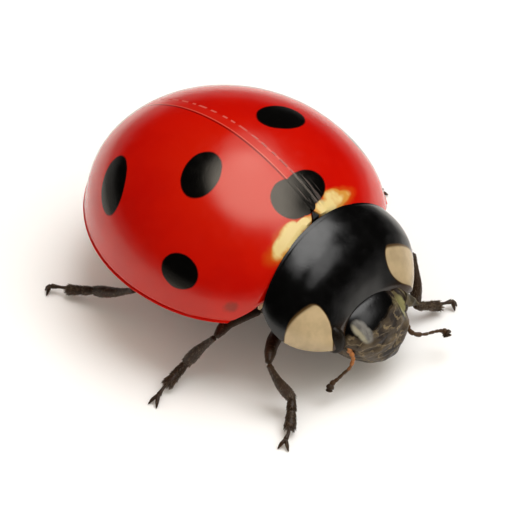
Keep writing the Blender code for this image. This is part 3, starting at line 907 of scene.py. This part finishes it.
def head_material(colours):
    """Black crown, brown wrinkled face with tan lines, a pale mark inside the right eye with a painted
    highlight, and painted reflection streaks by the left eye.
    """
    tree, shader, plan = new_material("head_brown")
    face = face_mask(tree, plan)
    blotch = mottle(tree, plan, 2.6, 5.0, (1.0, 1.6, 1.6))
    vein = away_from(tree, mottle(tree, plan, 2.2, 3.0, (1.0, 2.0, 2.4)), 0.5)
    vein = times(tree, eased(tree, vein, 0.040, 0.008), face)
    broken = times(tree, vein, eased(tree, mottle(tree, plan, 5.0, 2.0), 0.38, 0.55))
    colour = mixed(tree, face, colours.black, FACE_BROWN)
    for share, tone in (
        (times(tree, eased(tree, blotch, 0.50, 0.62), face), FACE_TAN),
        (times(tree, eased(tree, blotch, 0.47, 0.40), face), FACE_DARK),
        (times(tree, broken, 0.75), VEIN_TAN),
    ):
        colour = mixed(tree, share, colour, tone)
    # A painted highlight along the pale mark, and painted reflection streaks by the left eye.
    colour = painted_eye_sheen(tree, plan, pale_mark_over(tree, plan, colour))
    fine = use_group(tree, "Shell_Relief", {
        "Position": plan, "Swell": 0.010, "Swell Scale": 2.5,
        "Pit Depth": 0.001, "Pit Scale": 12.0, "Grain": 0.0005,
    })
    folds = times(tree, calc(tree, "SUBTRACT", blotch, 0.5), times(tree, face, 0.07))
    height = calc(tree, "ADD", fine["Height"], folds)
    height = calc(tree, "MULTIPLY_ADD", vein, 0.008, height)
    dress(tree, shader, colour, eased(tree, face, 0.0, 1.0, 0.22, 0.44), height, 0.42)


def cheek_material():
    """Olive brown of the lobes in front of the eyes."""
    tree, shader, plan = new_material("cheek_olive")
    patch = mottle(tree, plan, 4.0, 4.0, (2.0, 1.0, 1.0))
    tone = mixed(tree, eased(tree, patch, 0.40, 0.62), CHEEK_DARK, CHEEK_OLIVE)
    dull = eased(tree, patch, 0.3, 0.7, 0.45, 0.60)
    dress(tree, shader, tone, dull, times(tree, patch, 0.03), 0.3)


def eye_material():
    """Black compound eye, with its facets as fine cells and painted reflection streaks in the left eye.
    """
    tree, shader, plan = new_material("faceted_black")
    cells = place(tree, "ShaderNodeTexVoronoi", {"Vector": plan, "Scale": 34.0}).outputs["Distance"]
    sheen = mixed(tree, cells, EYE_DARK, EYE_BROWN)
    dull = eased(tree, mottle(tree, plan, 6.0), 0.3, 0.7, 0.27, 0.36)
    dress(tree, shader, painted_eye_sheen(tree, plan, sheen), dull, times(tree, cells, -0.004), 0.12)


def limb_material(colours):
    """Dark brown legs, a little redder in random patches, with fine specks and pits."""
    tree, shader, plan = new_material("limb_brown")
    patch = mottle(tree, plan, 2.4, 5.0)
    speck = mottle(tree, plan, 16.0, 4.0)
    colour = mixed(tree, eased(tree, patch, 0.42, 0.70), colours.leg, LEG_RUSSET)
    colour = mixed(tree, eased(tree, speck, 0.56, 0.72), colour, LEG_SPECK)
    height = calc(tree, "MULTIPLY_ADD", patch, 0.010, times(tree, speck, 0.012))
    dress(tree, shader, colour, eased(tree, speck, 0.3, 0.7, 0.34, 0.52), height, 0.3)


def feeler_material(colours):
    """Orange brown at the base of the antenna, darker on the left one as painted shade, and dark on the
    club.
    """
    tree, shader, plan = new_material("antenna_brown")
    reach = place(tree, "ShaderNodeAttribute", attribute_name="reach").outputs["Fac"]
    speck = mottle(tree, plan, 14.0, 4.0)
    # Painted shade: the left antenna, on the far side, is darker.
    left = eased(tree, split(tree, plan)["X"], -0.2, 0.2)
    colour = mixed(tree, left, colours.feeler, FEELER_SHADED)
    colour = mixed(tree, eased(tree, reach, 0.26, 0.46), colour, FEELER_STEM)
    colour = mixed(tree, eased(tree, reach, 0.74, 0.82), colour, FEELER_CLUB)
    colour = mixed(tree, times(tree, speck, 0.35), colour, FEELER_SPECK)
    dress(tree, shader, colour, eased(tree, speck, 0.3, 0.7, 0.32, 0.50), times(tree, speck, 0.008), 0.3)


def belly_material(colours):
    """Black underside with close pits, a little brown where it is worn."""
    tree, shader, plan = new_material("belly_black")
    fine = use_group(tree, "Shell_Relief", {
        "Position": plan, "Swell": 0.010, "Swell Scale": 2.0,
        "Pit Depth": 0.006, "Pit Scale": 10.0, "Grain": 0.001,
    })
    colour = mixed(tree, eased(tree, fine["Wear"], 0.4, 0.8), tint(colours.black, 2.5),
                   BELLY_BROWN)
    dress(tree, shader, colour, eased(tree, fine["Wear"], 0.3, 0.8, 0.30, 0.48), fine["Height"])


def pale_plate_material(colours):
    """Cream of the small plate behind each shoulder."""
    tree, shader, plan = new_material("pale_plate")
    patch = mottle(tree, plan, 5.0, 4.0)
    tone = mixed(tree, eased(tree, patch, 0.35, 0.70), tint(colours.cream, 0.6), tint(colours.cream, 1.2))
    dress(tree, shader, tone, eased(tree, patch, 0.3, 0.7, 0.35, 0.50), times(tree, patch, 0.02))


def hair_material():
    """Grey brown hairs."""
    tree, shader, plan = new_material("hair_brown")
    tone = mottle(tree, plan, 9.0, 2.0)
    colour = mixed(tree, eased(tree, tone, 0.35, 0.65), HAIR_DARK, HAIR_TAN)
    dress(tree, shader, colour, eased(tree, tone, 0.3, 0.7, 0.40, 0.55))


def seen_by_camera(tree):
    return tree.nodes.new("ShaderNodeLightPath").outputs["Is Camera Ray"]


def floor_material(colours):
    """Plain pale floor with the faintest mottle, that sends little light back from far away."""
    tree, shader, plan = new_material("floor_pale")
    tone = mottle(tree, plan, 0.05, 2.0)
    colour = mixed(tree, tone, tint(colours.floor, 0.985), colours.floor)
    near = eased(tree, vector_calc(tree, "LENGTH", plan), 40.0, 9.0, 0.25, 1.0)
    near = chosen(tree, seen_by_camera(tree), near, 1.0)
    dress(tree, shader, scaled(tree, colour, near), 0.9, reflection=0.1)


# Pieces.

def wing_case(side, sizes):
    """One wing case, with its flared and beaded side rim."""
    bead = sizes.rim_bead / MM
    thickness = sizes.case_thickness / MM

    def surface(inset):
        def point(across, along):
            across = 1.0 - (1.0 - across) ** 1.6
            front = case_front(across)
            rear = WIDEST_Y + REAR_REACH - inset
            y = front + (rear - front) * math.sin(0.5 * math.pi * along)
            if along > 0.9999:
                lip = LIP_WIDTH if inset == 0.0 else 0.0
                return Vector((side * 0.5 * SUTURE_GAP, rear + lip, RIM_Z))
            spot = dome_point(y, 0.5 * math.pi * across, inset)
            spot.x += 0.5 * SUTURE_GAP
            if inset == 0.0:
                spot += rim_flare(spot, bead)
            return Vector((side * spot.x, spot.y, spot.z))
        return point
    return shell(96, 120, surface(0.0), surface(thickness))


def scutellum_side(side):
    """Plane of one slanted side of the scutellum, as a point and an outward normal."""
    normal = Vector((side * SCUTELLUM_LENGTH, SCUTELLUM_HALF_WIDTH, 0.0)).normalized()
    tip = Vector((0.0, CASE_FRONT_Y + SCUTELLUM_LENGTH, 0.0))
    return tip, normal


def scutellum():
    """The small black triangle between the wing cases and the pronotum."""
    def surface(inset):
        def point(across, along):
            x = (2.0 * across - 1.0) * SCUTELLUM_HALF_WIDTH
            y = CASE_FRONT_Y - 0.01 + along * SCUTELLUM_LENGTH
            return Vector((x, y, dome_point(y, 0.0, inset).z))
        return point
    bm = shell(24, 24, surface(0.0), surface(SCUTELLUM_DEPTH))
    for side in (1, -1):
        keep_side(bm, *scutellum_side(side))
    return bm


def pronotum():
    """The shield over the front of the body, with a fine raised line inside its rear edge."""
    def outer(across, along):
        spot = pronotum_point(across, along, 0.0)
        lift = 0.006 * (bump_at(along, 0.0, 0.010) - bump_at(along, 0.024, 0.010))
        edge = min(across, 1.0 - across)
        lift += 0.010 * (bump_at(edge, 0.0, 0.010) - bump_at(edge, 0.026, 0.010))
        return spot + Vector((0.0, 0.0, lift))

    def inner(across, along):
        return pronotum_point(across, along, PRONOTUM_THICKNESS)
    return shell(128, 80, outer, inner)


def belly():
    """Thorax and abdomen in one, with the cross grooves of the abdomen's plates underneath."""
    bm = bmesh.new()
    for vert in ball(bm, 120, 110):
        x, along, z = vert.co
        reach = FRONT_REACH if along < 0.0 else REAR_REACH - BELLY_INSET
        y = WIDEST_Y + along * reach
        turn = math.atan2(x, abs(z))
        width = dome_width(y, BELLY_INSET)
        level = abs(math.cos(turn)) ** (2.0 / ARCH_POWER)
        spread = width * signed_power(math.sin(turn), 2.0 / ARCH_POWER)
        if z > 0.0:
            rise = dome_height(y, BELLY_INSET) * level
        else:
            groove = sum(bump_at(y, line - 0.05 * spread ** 2, 0.030) for line in BELLY_GROOVES_Y)
            groove += bump_at(y, WIDEST_Y + 0.35 * abs(spread) ** 1.5, 0.035)
            groove += 0.7 * bump_at(spread, 0.0, 0.035) * smooth_step(0.3, -0.1, y)
            rise = -(BELLY_DEPTH * width / HALF_WIDTH - 0.035 * groove) * level
        vert.co = (spread, y, RIM_Z + rise)
    bmesh.ops.remove_doubles(bm, verts=bm.verts, dist=1e-4)
    keep_side(bm, (0.0, BELLY_FRONT_Y, 0.0), (0.0, -1.0, 0.0))
    return bm


def neck():
    """The underside of the first part of the thorax, between the wing cases and the head."""
    bm = bmesh.new()
    for vert in ball(bm, 64, 48):
        x, y, z = vert.co
        height = NECK_SIZE[2] if z > 0.0 else NECK_DEPTH
        vert.co = Vector(NECK_CENTRE) + Vector((x * NECK_SIZE[0], y * NECK_SIZE[1], z * height))
        vert.co.z += 0.015 * noise.noise(vert.co * 3.0)
    return bm


def joined(*limbs):
    """One mesh of several limbs."""
    bm = bmesh.new()
    for limb in limbs:
        limb.add_to(bm)
    return bm


def shoulder_plate(path, width):
    """The small pale plate that shows between a shoulder and the pronotum's hind corner."""
    return joined(Limb(path, ((0.0, 0.4 * width), (0.5, width), (1.0, 0.4 * width)), flatness=0.5))


def cheek(path, width):
    """The lobe in front of an eye."""
    widths = ((0.0, width), (0.4, 0.7 * width), (1.0, 0.1 * width))
    return joined(Limb(path, widths, roughness=0.02, cap=0.04))


def head_shape(steps, rings, grow=0.0):
    """A rounded box with a flatter brow, narrower towards the mouth, with its face sculpted."""
    bm = bmesh.new()
    for vert in ball(bm, steps, rings):
        x, y, z = vert.co
        power = BROW_POWER if y < 0.0 < z else HEAD_POWER
        profile = (abs(y) ** power + abs(z) ** power) ** (1.0 / power)
        size = (abs(x) ** HEAD_POWER + profile ** HEAD_POWER) ** (-1.0 / HEAD_POWER)
        x, y, z = vert.co * size
        vert.co = sculpt_face(Vector(HEAD_CENTRE) + Vector((
            x * (HEAD_SIZE[0] + grow) * (1.0 + (BROW_TAPER if z > 0.0 else CHIN_TAPER) * z),
            y * (HEAD_SIZE[1] + grow),
            z * (HEAD_SIZE[2] + grow),
        )))
    return bm


def sculpt_face(spot):
    """Moves a point of the head: wrinkles and folds on the face, and a snout turned a little left."""
    out = (spot - Vector(HEAD_CENTRE)).normalized()
    front = smooth_step(-3.70, -4.00, spot.y)
    low = smooth_step(1.32, 1.08, spot.z)
    wrinkle = noise.noise(Vector((spot.x * 3.0, spot.y * 5.0, spot.z * 8.0)))
    depth = 0.045 * wrinkle * front * low
    depth -= 0.014 * front * bump_at(spot.z, 1.14 - 0.20 * spot.x ** 2, 0.045)
    depth += 0.014 * front * bump_at(spot.z, 0.86 - 0.16 * spot.x ** 2, 0.070)
    depth -= 0.020 * front * bump_at(spot.z, 0.70 - 0.12 * spot.x ** 2, 0.035)
    spot = spot + out * depth
    snout = smooth_step(-3.55, -3.95, spot.y)
    spot.x += 0.11 * smooth_step(1.25, 0.80, spot.z) * snout
    spot.z += 0.45 * max(CHIN_Z - spot.z, 0.0) * snout
    return spot


def head_capsule():
    """The head without its lip and jaws."""
    bm = head_shape(128, 96)
    keep_side(bm, (0.0, HEAD_BACK_Y, 0.0), (0.0, 1.0, 0.0))
    keep_side(bm, (0.0, 0.0, MOUTH_Z + 0.015), (0.0, 0.0, -1.0))
    return bm


def upper_lip():
    """The lip in front of the mouth."""
    bm = head_shape(96, 72, -0.012)
    keep_side(bm, (0.0, 0.0, MOUTH_Z - 0.015), (0.0, 0.0, 1.0))
    keep_side(bm, (0.0, LIP_Y - 0.015, 0.0), (0.0, 1.0, 0.0))
    return bm


def jaws():
    """The floor of the mouth with two jaws and the four palps."""
    bm = head_shape(64, 48, -0.05)
    keep_side(bm, (0.0, HEAD_BACK_Y, 0.0), (0.0, 1.0, 0.0))
    keep_side(bm, (0.0, 0.0, MOUTH_Z - 0.03), (0.0, 0.0, 1.0))
    keep_side(bm, (0.0, LIP_Y + 0.03, 0.0), (0.0, -1.0, 0.0))
    for side in (1, -1):
        x = [0.08 + side * offset for offset in (0.30, 0.28, 0.17, 0.05)]
        jaw = ((x[0], -3.66, 0.46), (x[1], -3.80, 0.44), (x[2], -3.87, 0.42), (x[3], -3.87, 0.40))
        Limb(jaw, ((0.0, 0.08), (0.5, 0.06), (1.0, 0.015))).add_to(bm)
        palp = ((x[0], -3.36, 0.46), (x[0] + side * 0.05, -3.44, 0.43),
                (x[0] + side * 0.04, -3.54, 0.40), (x[0], -3.62, 0.40))
        Limb(palp, ((0.0, 0.045), (0.45, 0.05), (0.62, 0.045), (1.0, 0.07)), roughness=0.01).add_to(bm)
        small = ((x[2], -3.46, 0.40), (x[2] + side * 0.02, -3.58, 0.37), (x[2], -3.68, 0.36))
        Limb(small, ((0.0, 0.035), (0.6, 0.045), (1.0, 0.03))).add_to(bm, 12, 16)
    return bm


def eye(middle):
    """A compound eye."""
    bm = bmesh.new()
    bmesh.ops.create_icosphere(bm, subdivisions=5, radius=1.0)
    bmesh.ops.scale(bm, vec=EYE_SIZE, verts=bm.verts)
    bmesh.ops.translate(bm, vec=middle, verts=bm.verts)
    return bm


def feeler(path, width, base, club):
    """Eleven beads on one path: a thick base, a slender stem and a club of three."""
    bm = bmesh.new()
    reach = bm.verts.layers.float.new("reach")
    half = 0.5 * width
    whole = Limb(path, ((0.0, half), (1.0, half)))
    beads = ((0.00, 0.13, 1.45 * base), (0.11, 0.21, 1.2 * base), (0.19, 0.31, base), (0.29, 0.40, base),
             (0.38, 0.49, 0.85), (0.47, 0.58, 0.85), (0.56, 0.66, 0.88), (0.64, 0.74, 1.0),
             (0.72, 0.83, 1.3 * club), (0.81, 0.92, 1.9 * club), (0.90, 1.00, 1.6 * club))
    for start, end, swell in beads:
        points = [whole.centre(start + (end - start) * share) for share in (0.0, 0.5, 1.0)]
        widths = ((0.0, 0.75 * swell * half), (0.65, swell * half), (1.0, 0.85 * swell * half))
        for vert in Limb(points, widths, cap=0.22).add_to(bm, 14, 14):
            vert[reach] = start
    return bm


def leg_lengths(joints, sizes):
    """The lengths of one leg, from the coxa to the claws, named by the solid that each stands for."""
    hip, knee, shin, ankle, pad, root, *tips = (Vector(joint) for joint in joints)
    inner = Vector((hip.x * 0.48, hip.y, 1.0))
    femur = 0.5 * sizes.femur_width / MM
    tibia = 0.5 * sizes.tibia_width / MM
    bend = hip.lerp(knee, 0.6) + Vector((0.0, 0.05, 0.12))
    heel = ankle.lerp(pad, 0.42)
    top = Vector((0.0, 0.0, 0.04))
    return {
        "coxa": [Limb((inner, inner.lerp(hip, 0.5), hip),
                      ((0.0, 0.24), (0.5, 0.27), (1.0, 0.14)), roughness=0.02)],
        "femur": [Limb((hip, bend, knee),
                       ((0.0, 0.75 * femur), (0.4, femur), (0.72, 0.85 * femur), (1.0, 0.44 * femur)),
                       roughness=0.008, cap=0.03)],
        "tibia": [Limb((knee, shin, ankle),
                       ((0.0, 0.50 * tibia), (0.10, 0.52 * tibia), (0.78, tibia), (1.0, 0.86 * tibia)),
                       roughness=0.010, cap=0.03)],
        "tarsus": [
            Limb((ankle - (heel - ankle) * 0.12, ankle.lerp(heel, 0.5), heel),
                 ((0.0, 0.072), (0.6, 0.098), (1.0, 0.096)), flatness=0.90, roughness=0.010, cap=0.16),
            Limb((ankle.lerp(pad, 0.34), heel.lerp(pad, 0.5), pad),
                 ((0.0, 0.092), (0.55, 0.108), (0.85, 0.112), (1.0, 0.085)),
                 flatness=0.85, roughness=0.014, cap=0.14),
            Limb((heel.lerp(pad, 0.3) + top, pad.lerp(root, 0.2) + top, root),
                 ((0.0, 0.032), (0.6, 0.030), (1.0, 0.056)), roughness=0.006),
            *(Limb((root.lerp(tip, -0.1), root.lerp(tip, 0.5) + Vector((0.0, 0.0, 0.03)), tip),
                   ((0.0, 0.044), (0.5, 0.038), (1.0, 0.016)), cap=0.14) for tip in tips),
        ],
    }


def add_hair(bm, uv, limb, share, turn, length, lean, patch):
    """One three-sided hair, rooted in the skin and leaning towards the foot."""
    root, out, along = limb.skin(share, turn)
    way = (out * (1.0 - lean) + along * lean).normalized()
    middle = root - out * HAIR_DEPTH + way * 0.5 * length
    stand = Matrix.Translation(middle) @ way.to_track_quat("Z", "Y").to_matrix().to_4x4()
    verts = bmesh.ops.create_cone(
        bm, cap_ends=True, segments=3, radius1=HAIR_ROOT, radius2=HAIR_TIP, depth=length, matrix=stand
    )["verts"]
    for face in {face for vert in verts for face in vert.link_faces}:
        for corner, loop in enumerate(face.loops):
            loop[uv].uv = (patch[0] + HAIR_PATCH * (corner % 2), patch[1] + HAIR_PATCH * (corner // 2))


def leg_hairs(lengths, sizes, seed):
    """The hairs of one leg: sparse above, close below the knee and closest under the pads."""
    chance = random.Random(seed)
    bm = bmesh.new()
    uv = bm.loops.layers.uv.new("OFBake")
    longest = sizes.hair_length / MM
    zones = [(lengths["femur"][0], 0.16, 0.60, 0.84), (lengths["tibia"][0], 0.36, 0.80, 0.78),
             (lengths["tarsus"][0], 0.16, 0.85, 0.74), (lengths["tarsus"][1], 0.28, 1.00, 0.72),
             (lengths["tarsus"][2], 0.04, 0.60, 0.78)]
    for index, (limb, part, size, lean) in enumerate(zones):
        for _ in range(int(sizes.hair_count * part)):
            share = chance.uniform(0.06, 0.98)
            turn = chance.uniform(0.0, math.tau)
            length = longest * size * chance.uniform(0.6, 1.0)
            patch = ((index + 0.04 + 0.90 * share) / len(zones), 0.02 + 0.95 * turn / math.tau)
            add_hair(bm, uv, limb, share, turn, length, lean * chance.uniform(0.85, 1.1), patch)
    return bm


# Operators, one for each piece or group of like pieces.

class PieceOperator:
    """What every operator here has in common."""

    bl_options = {"REGISTER", "UNDO"}

    def execute(self, context):
        self.build(context.scene.ladybird_sizes, context.scene.ladybird_colours)
        return {"FINISHED"}


class LADYBIRD_OT_finishes(PieceOperator, bpy.types.Operator):
    """Make the node groups and materials"""

    bl_idname = "ladybird.finishes"
    bl_label = "Finishes"

    def build(self, sizes, colours):
        build_plan_group()
        build_mark_group()
        build_relief_group()
        wing_case_material(sizes, colours)
        black_material(colours)
        pronotum_material(colours)
        head_material(colours)
        cheek_material()
        eye_material()
        limb_material(colours)
        feeler_material(colours)
        belly_material(colours)
        pale_plate_material(colours)
        hair_material()
        floor_material(colours)


class LADYBIRD_OT_wing_cases(PieceOperator, bpy.types.Operator):
    """Make the two spotted wing cases and the scutellum between them"""

    bl_idname = "ladybird.wing_cases"
    bl_label = "Wing Cases"

    def build(self, sizes, colours):
        edge = sizes.edge_round
        for name, side in (("left", 1), ("right", -1)):
            bm = wing_case(side, sizes)
            tip, normal = scutellum_side(side)
            keep_side(bm, tip + normal * GAP, -normal)
            finish("wing_case_" + name, bm, "wing_case_red", ["elytron_" + name], edge)
        finish("scutellum_plate", scutellum(), "glossy_black", ["scutellum"], edge)


class LADYBIRD_OT_pronotum(PieceOperator, bpy.types.Operator):
    """Make the pronotum with its pale corners"""

    bl_idname = "ladybird.pronotum"
    bl_label = "Pronotum"

    def build(self, sizes, colours):
        finish("pronotum_shield", pronotum(), "pronotum_black", ["pronotum"],
               sizes.edge_round)


class LADYBIRD_OT_underside(PieceOperator, bpy.types.Operator):
    """Make the belly, the neck and the pale plates at the shoulders"""

    bl_idname = "ladybird.underside"
    bl_label = "Underside"

    def build(self, sizes, colours):
        finish("belly", belly(), "belly_black", ["thorax", "abdomen"])
        finish("neck", neck(), "belly_black", ["prothorax"])
        for name, plate in SHOULDER_PLATES.items():
            finish("shoulder_plate_" + name, shoulder_plate(*plate), "pale_plate")


class LADYBIRD_OT_head(PieceOperator, bpy.types.Operator):
    """Make the head, the eyes, the lip and the jaws"""

    bl_idname = "ladybird.head"
    bl_label = "Head"

    def build(self, sizes, colours):
        edge = sizes.edge_round
        finish("head_capsule", head_capsule(), "head_brown", ["head"], edge)
        finish("upper_lip", upper_lip(), "head_brown", ["labrum"], edge)
        finish("jaws_and_palps", jaws(), "head_brown", ["mouthparts"])
        for name, lobe in CHEEKS.items():
            finish("cheek_" + name, cheek(*lobe), "cheek_olive")
        for name, middle in EYES.items():
            finish("compound_eye_" + name, eye(middle), "faceted_black", ["eye_" + name])


class LADYBIRD_OT_antennae(PieceOperator, bpy.types.Operator):
    """Make the two antennae"""

    bl_idname = "ladybird.antennae"
    bl_label = "Antennae"

    def build(self, sizes, colours):
        for name, path in FEELERS.items():
            nodes = ["antenna_%s_%s" % (name, part) for part in ("base", "stem", "club")]
            bm = feeler(path, sizes.feeler_width / MM, *FEELER_SWELL[name])
            finish("antenna_" + name, bm, "antenna_brown", nodes)


class LADYBIRD_OT_legs(PieceOperator, bpy.types.Operator):
    """Make the six legs with their claws and hairs"""

    bl_idname = "ladybird.legs"
    bl_label = "Legs"

    def build(self, sizes, colours):
        for seed, (name, joints) in enumerate(LEGS.items()):
            lengths = leg_lengths(joints, sizes)
            for part, limbs in lengths.items():
                node = "leg_%s_%s" % (name, part)
                finish("%s_%s" % (part, name), joined(*limbs), "limb_brown", [node])
            finish("hairs_" + name, leg_hairs(lengths, sizes, seed), "hair_brown")


class LADYBIRD_OT_stage(PieceOperator, bpy.types.Operator):
    """Make the floor, the soft studio light and the camera"""

    bl_idname = "ladybird.stage"
    bl_label = "Stage"

    def build(self, sizes, colours):
        make_floor()
        make_world()
        make_fills()
        make_camera()
        bpy.context.scene.view_settings.view_transform = "Standard"


def direction(azimuth, elevation):
    """Unit vector towards a place round the animal. Azimuth 0 is in front of its face."""
    azimuth, elevation = math.radians(azimuth), math.radians(elevation)
    flat = math.cos(elevation)
    return Vector((math.sin(azimuth) * flat, -math.cos(azimuth) * flat, math.sin(elevation)))


def make_floor():
    bm = bmesh.new()
    bmesh.ops.create_grid(bm, x_segments=1, y_segments=1, size=FLOOR_REACH)
    mesh = bpy.data.meshes.new("floor")
    bm.to_mesh(mesh)
    bm.free()
    mesh.materials.append(bpy.data.materials["floor_pale"])
    floor = bpy.data.objects.new("floor", mesh)
    bpy.context.scene.collection.objects.link(floor)


def make_world():
    """A dark studio with three soft lamps high on the left and a low glow round the horizon."""
    world = bpy.data.worlds.new("studio")
    bpy.context.scene.world = world
    world.use_nodes = True
    tree = world.node_tree
    way = place(tree, "ShaderNodeTexCoord").outputs["Generated"]

    def patch(azimuth, elevation, outer, inner, strength):
        towards = vector_calc(tree, "DOT_PRODUCT", way, direction(azimuth, elevation))
        edges = (math.cos(math.radians(outer)), math.cos(math.radians(inner)))
        return eased(tree, towards, *edges, 0.0, strength)

    glow_edges = (math.sin(math.radians(10)), math.sin(math.radians(-2)))
    light = eased(tree, split(tree, way)["Z"], *glow_edges, 0.015, 0.35)
    for lamp in LAMPS:
        light = calc(tree, "ADD", light, patch(*lamp))
    light = chosen(tree, seen_by_camera(tree), light, 0.93)
    background = tree.nodes["Background"]
    background.inputs["Color"].default_value = (1.0, 0.99, 0.975, 1.0)
    feed(tree, background.inputs["Strength"], light)


def make_fill(name, azimuth, elevation, strength, colour):
    """A very soft lamp on the camera's side, which leaves no glint of its own."""
    lamp = bpy.data.lights.new(name, "SUN")
    lamp.energy = strength
    lamp.angle = math.pi
    lamp.color = colour
    fill = bpy.data.objects.new(name, lamp)
    bpy.context.scene.collection.objects.link(fill)
    fill.visible_glossy = False
    fill.rotation_mode = "QUATERNION"
    fill.rotation_quaternion = direction(azimuth, elevation).to_track_quat("Z", "Y")


def make_fills():
    """One fill for everything and a second one for the floor alone, which softens the shadow."""
    for name, settings in FILLS.items():
        make_fill(name, *settings)
    lit = bpy.data.collections.new("lit_by_floor_fill")
    lit.objects.link(bpy.data.objects["floor"])
    bpy.data.objects["floor_fill"].light_linking.receiver_collection = lit


def make_camera():
    data = bpy.data.cameras.new("camera")
    data.sensor_width = VIEW_SENSOR
    data.lens = VIEW_LENS
    data.clip_start = 0.001
    data.clip_end = 10.0
    camera = bpy.data.objects.new("camera", data)
    bpy.context.scene.collection.objects.link(camera)
    back = direction(VIEW_AZIMUTH, VIEW_ELEVATION)
    camera.location = PLAN_ORIGIN + (Vector(VIEW_AIM) + back * VIEW_DISTANCE) * MM
    camera.rotation_mode = "QUATERNION"
    camera.rotation_quaternion = (-back).to_track_quat("-Z", "Y")
    bpy.context.scene.camera = camera


OPERATORS = (
    LADYBIRD_OT_finishes,
    LADYBIRD_OT_wing_cases,
    LADYBIRD_OT_pronotum,
    LADYBIRD_OT_underside,
    LADYBIRD_OT_head,
    LADYBIRD_OT_antennae,
    LADYBIRD_OT_legs,
    LADYBIRD_OT_stage,
)


class LADYBIRD_PT_pieces(bpy.types.Panel):
    """Lists the pieces in the sidebar"""

    bl_idname = "LADYBIRD_PT_pieces"
    bl_label = "Ladybird"
    bl_space_type = "VIEW_3D"
    bl_region_type = "UI"
    bl_category = "Ladybird"

    def draw(self, context):
        for group in (context.scene.ladybird_sizes, context.scene.ladybird_colours):
            column = self.layout.column()
            for name in group.bl_rna.properties.keys():
                if name not in ("rna_type", "name"):
                    column.prop(group, name)
        for operator in OPERATORS:
            self.layout.operator(operator.bl_idname)


CLASSES = (LadybirdSizes, LadybirdColours, *OPERATORS, LADYBIRD_PT_pieces)


def register():
    for cls in CLASSES:
        bpy.utils.register_class(cls)
    bpy.types.Scene.ladybird_sizes = PointerProperty(type=LadybirdSizes)
    bpy.types.Scene.ladybird_colours = PointerProperty(type=LadybirdColours)


def unregister():
    del bpy.types.Scene.ladybird_colours
    del bpy.types.Scene.ladybird_sizes
    for cls in reversed(CLASSES):
        bpy.utils.unregister_class(cls)


def main():
    register()
    bpy.ops.ladybird.finishes()
    bpy.ops.ladybird.wing_cases()
    bpy.ops.ladybird.pronotum()
    bpy.ops.ladybird.underside()
    bpy.ops.ladybird.head()
    bpy.ops.ladybird.antennae()
    bpy.ops.ladybird.legs()
    bpy.ops.ladybird.stage()


if __name__ == "__main__":
    main()
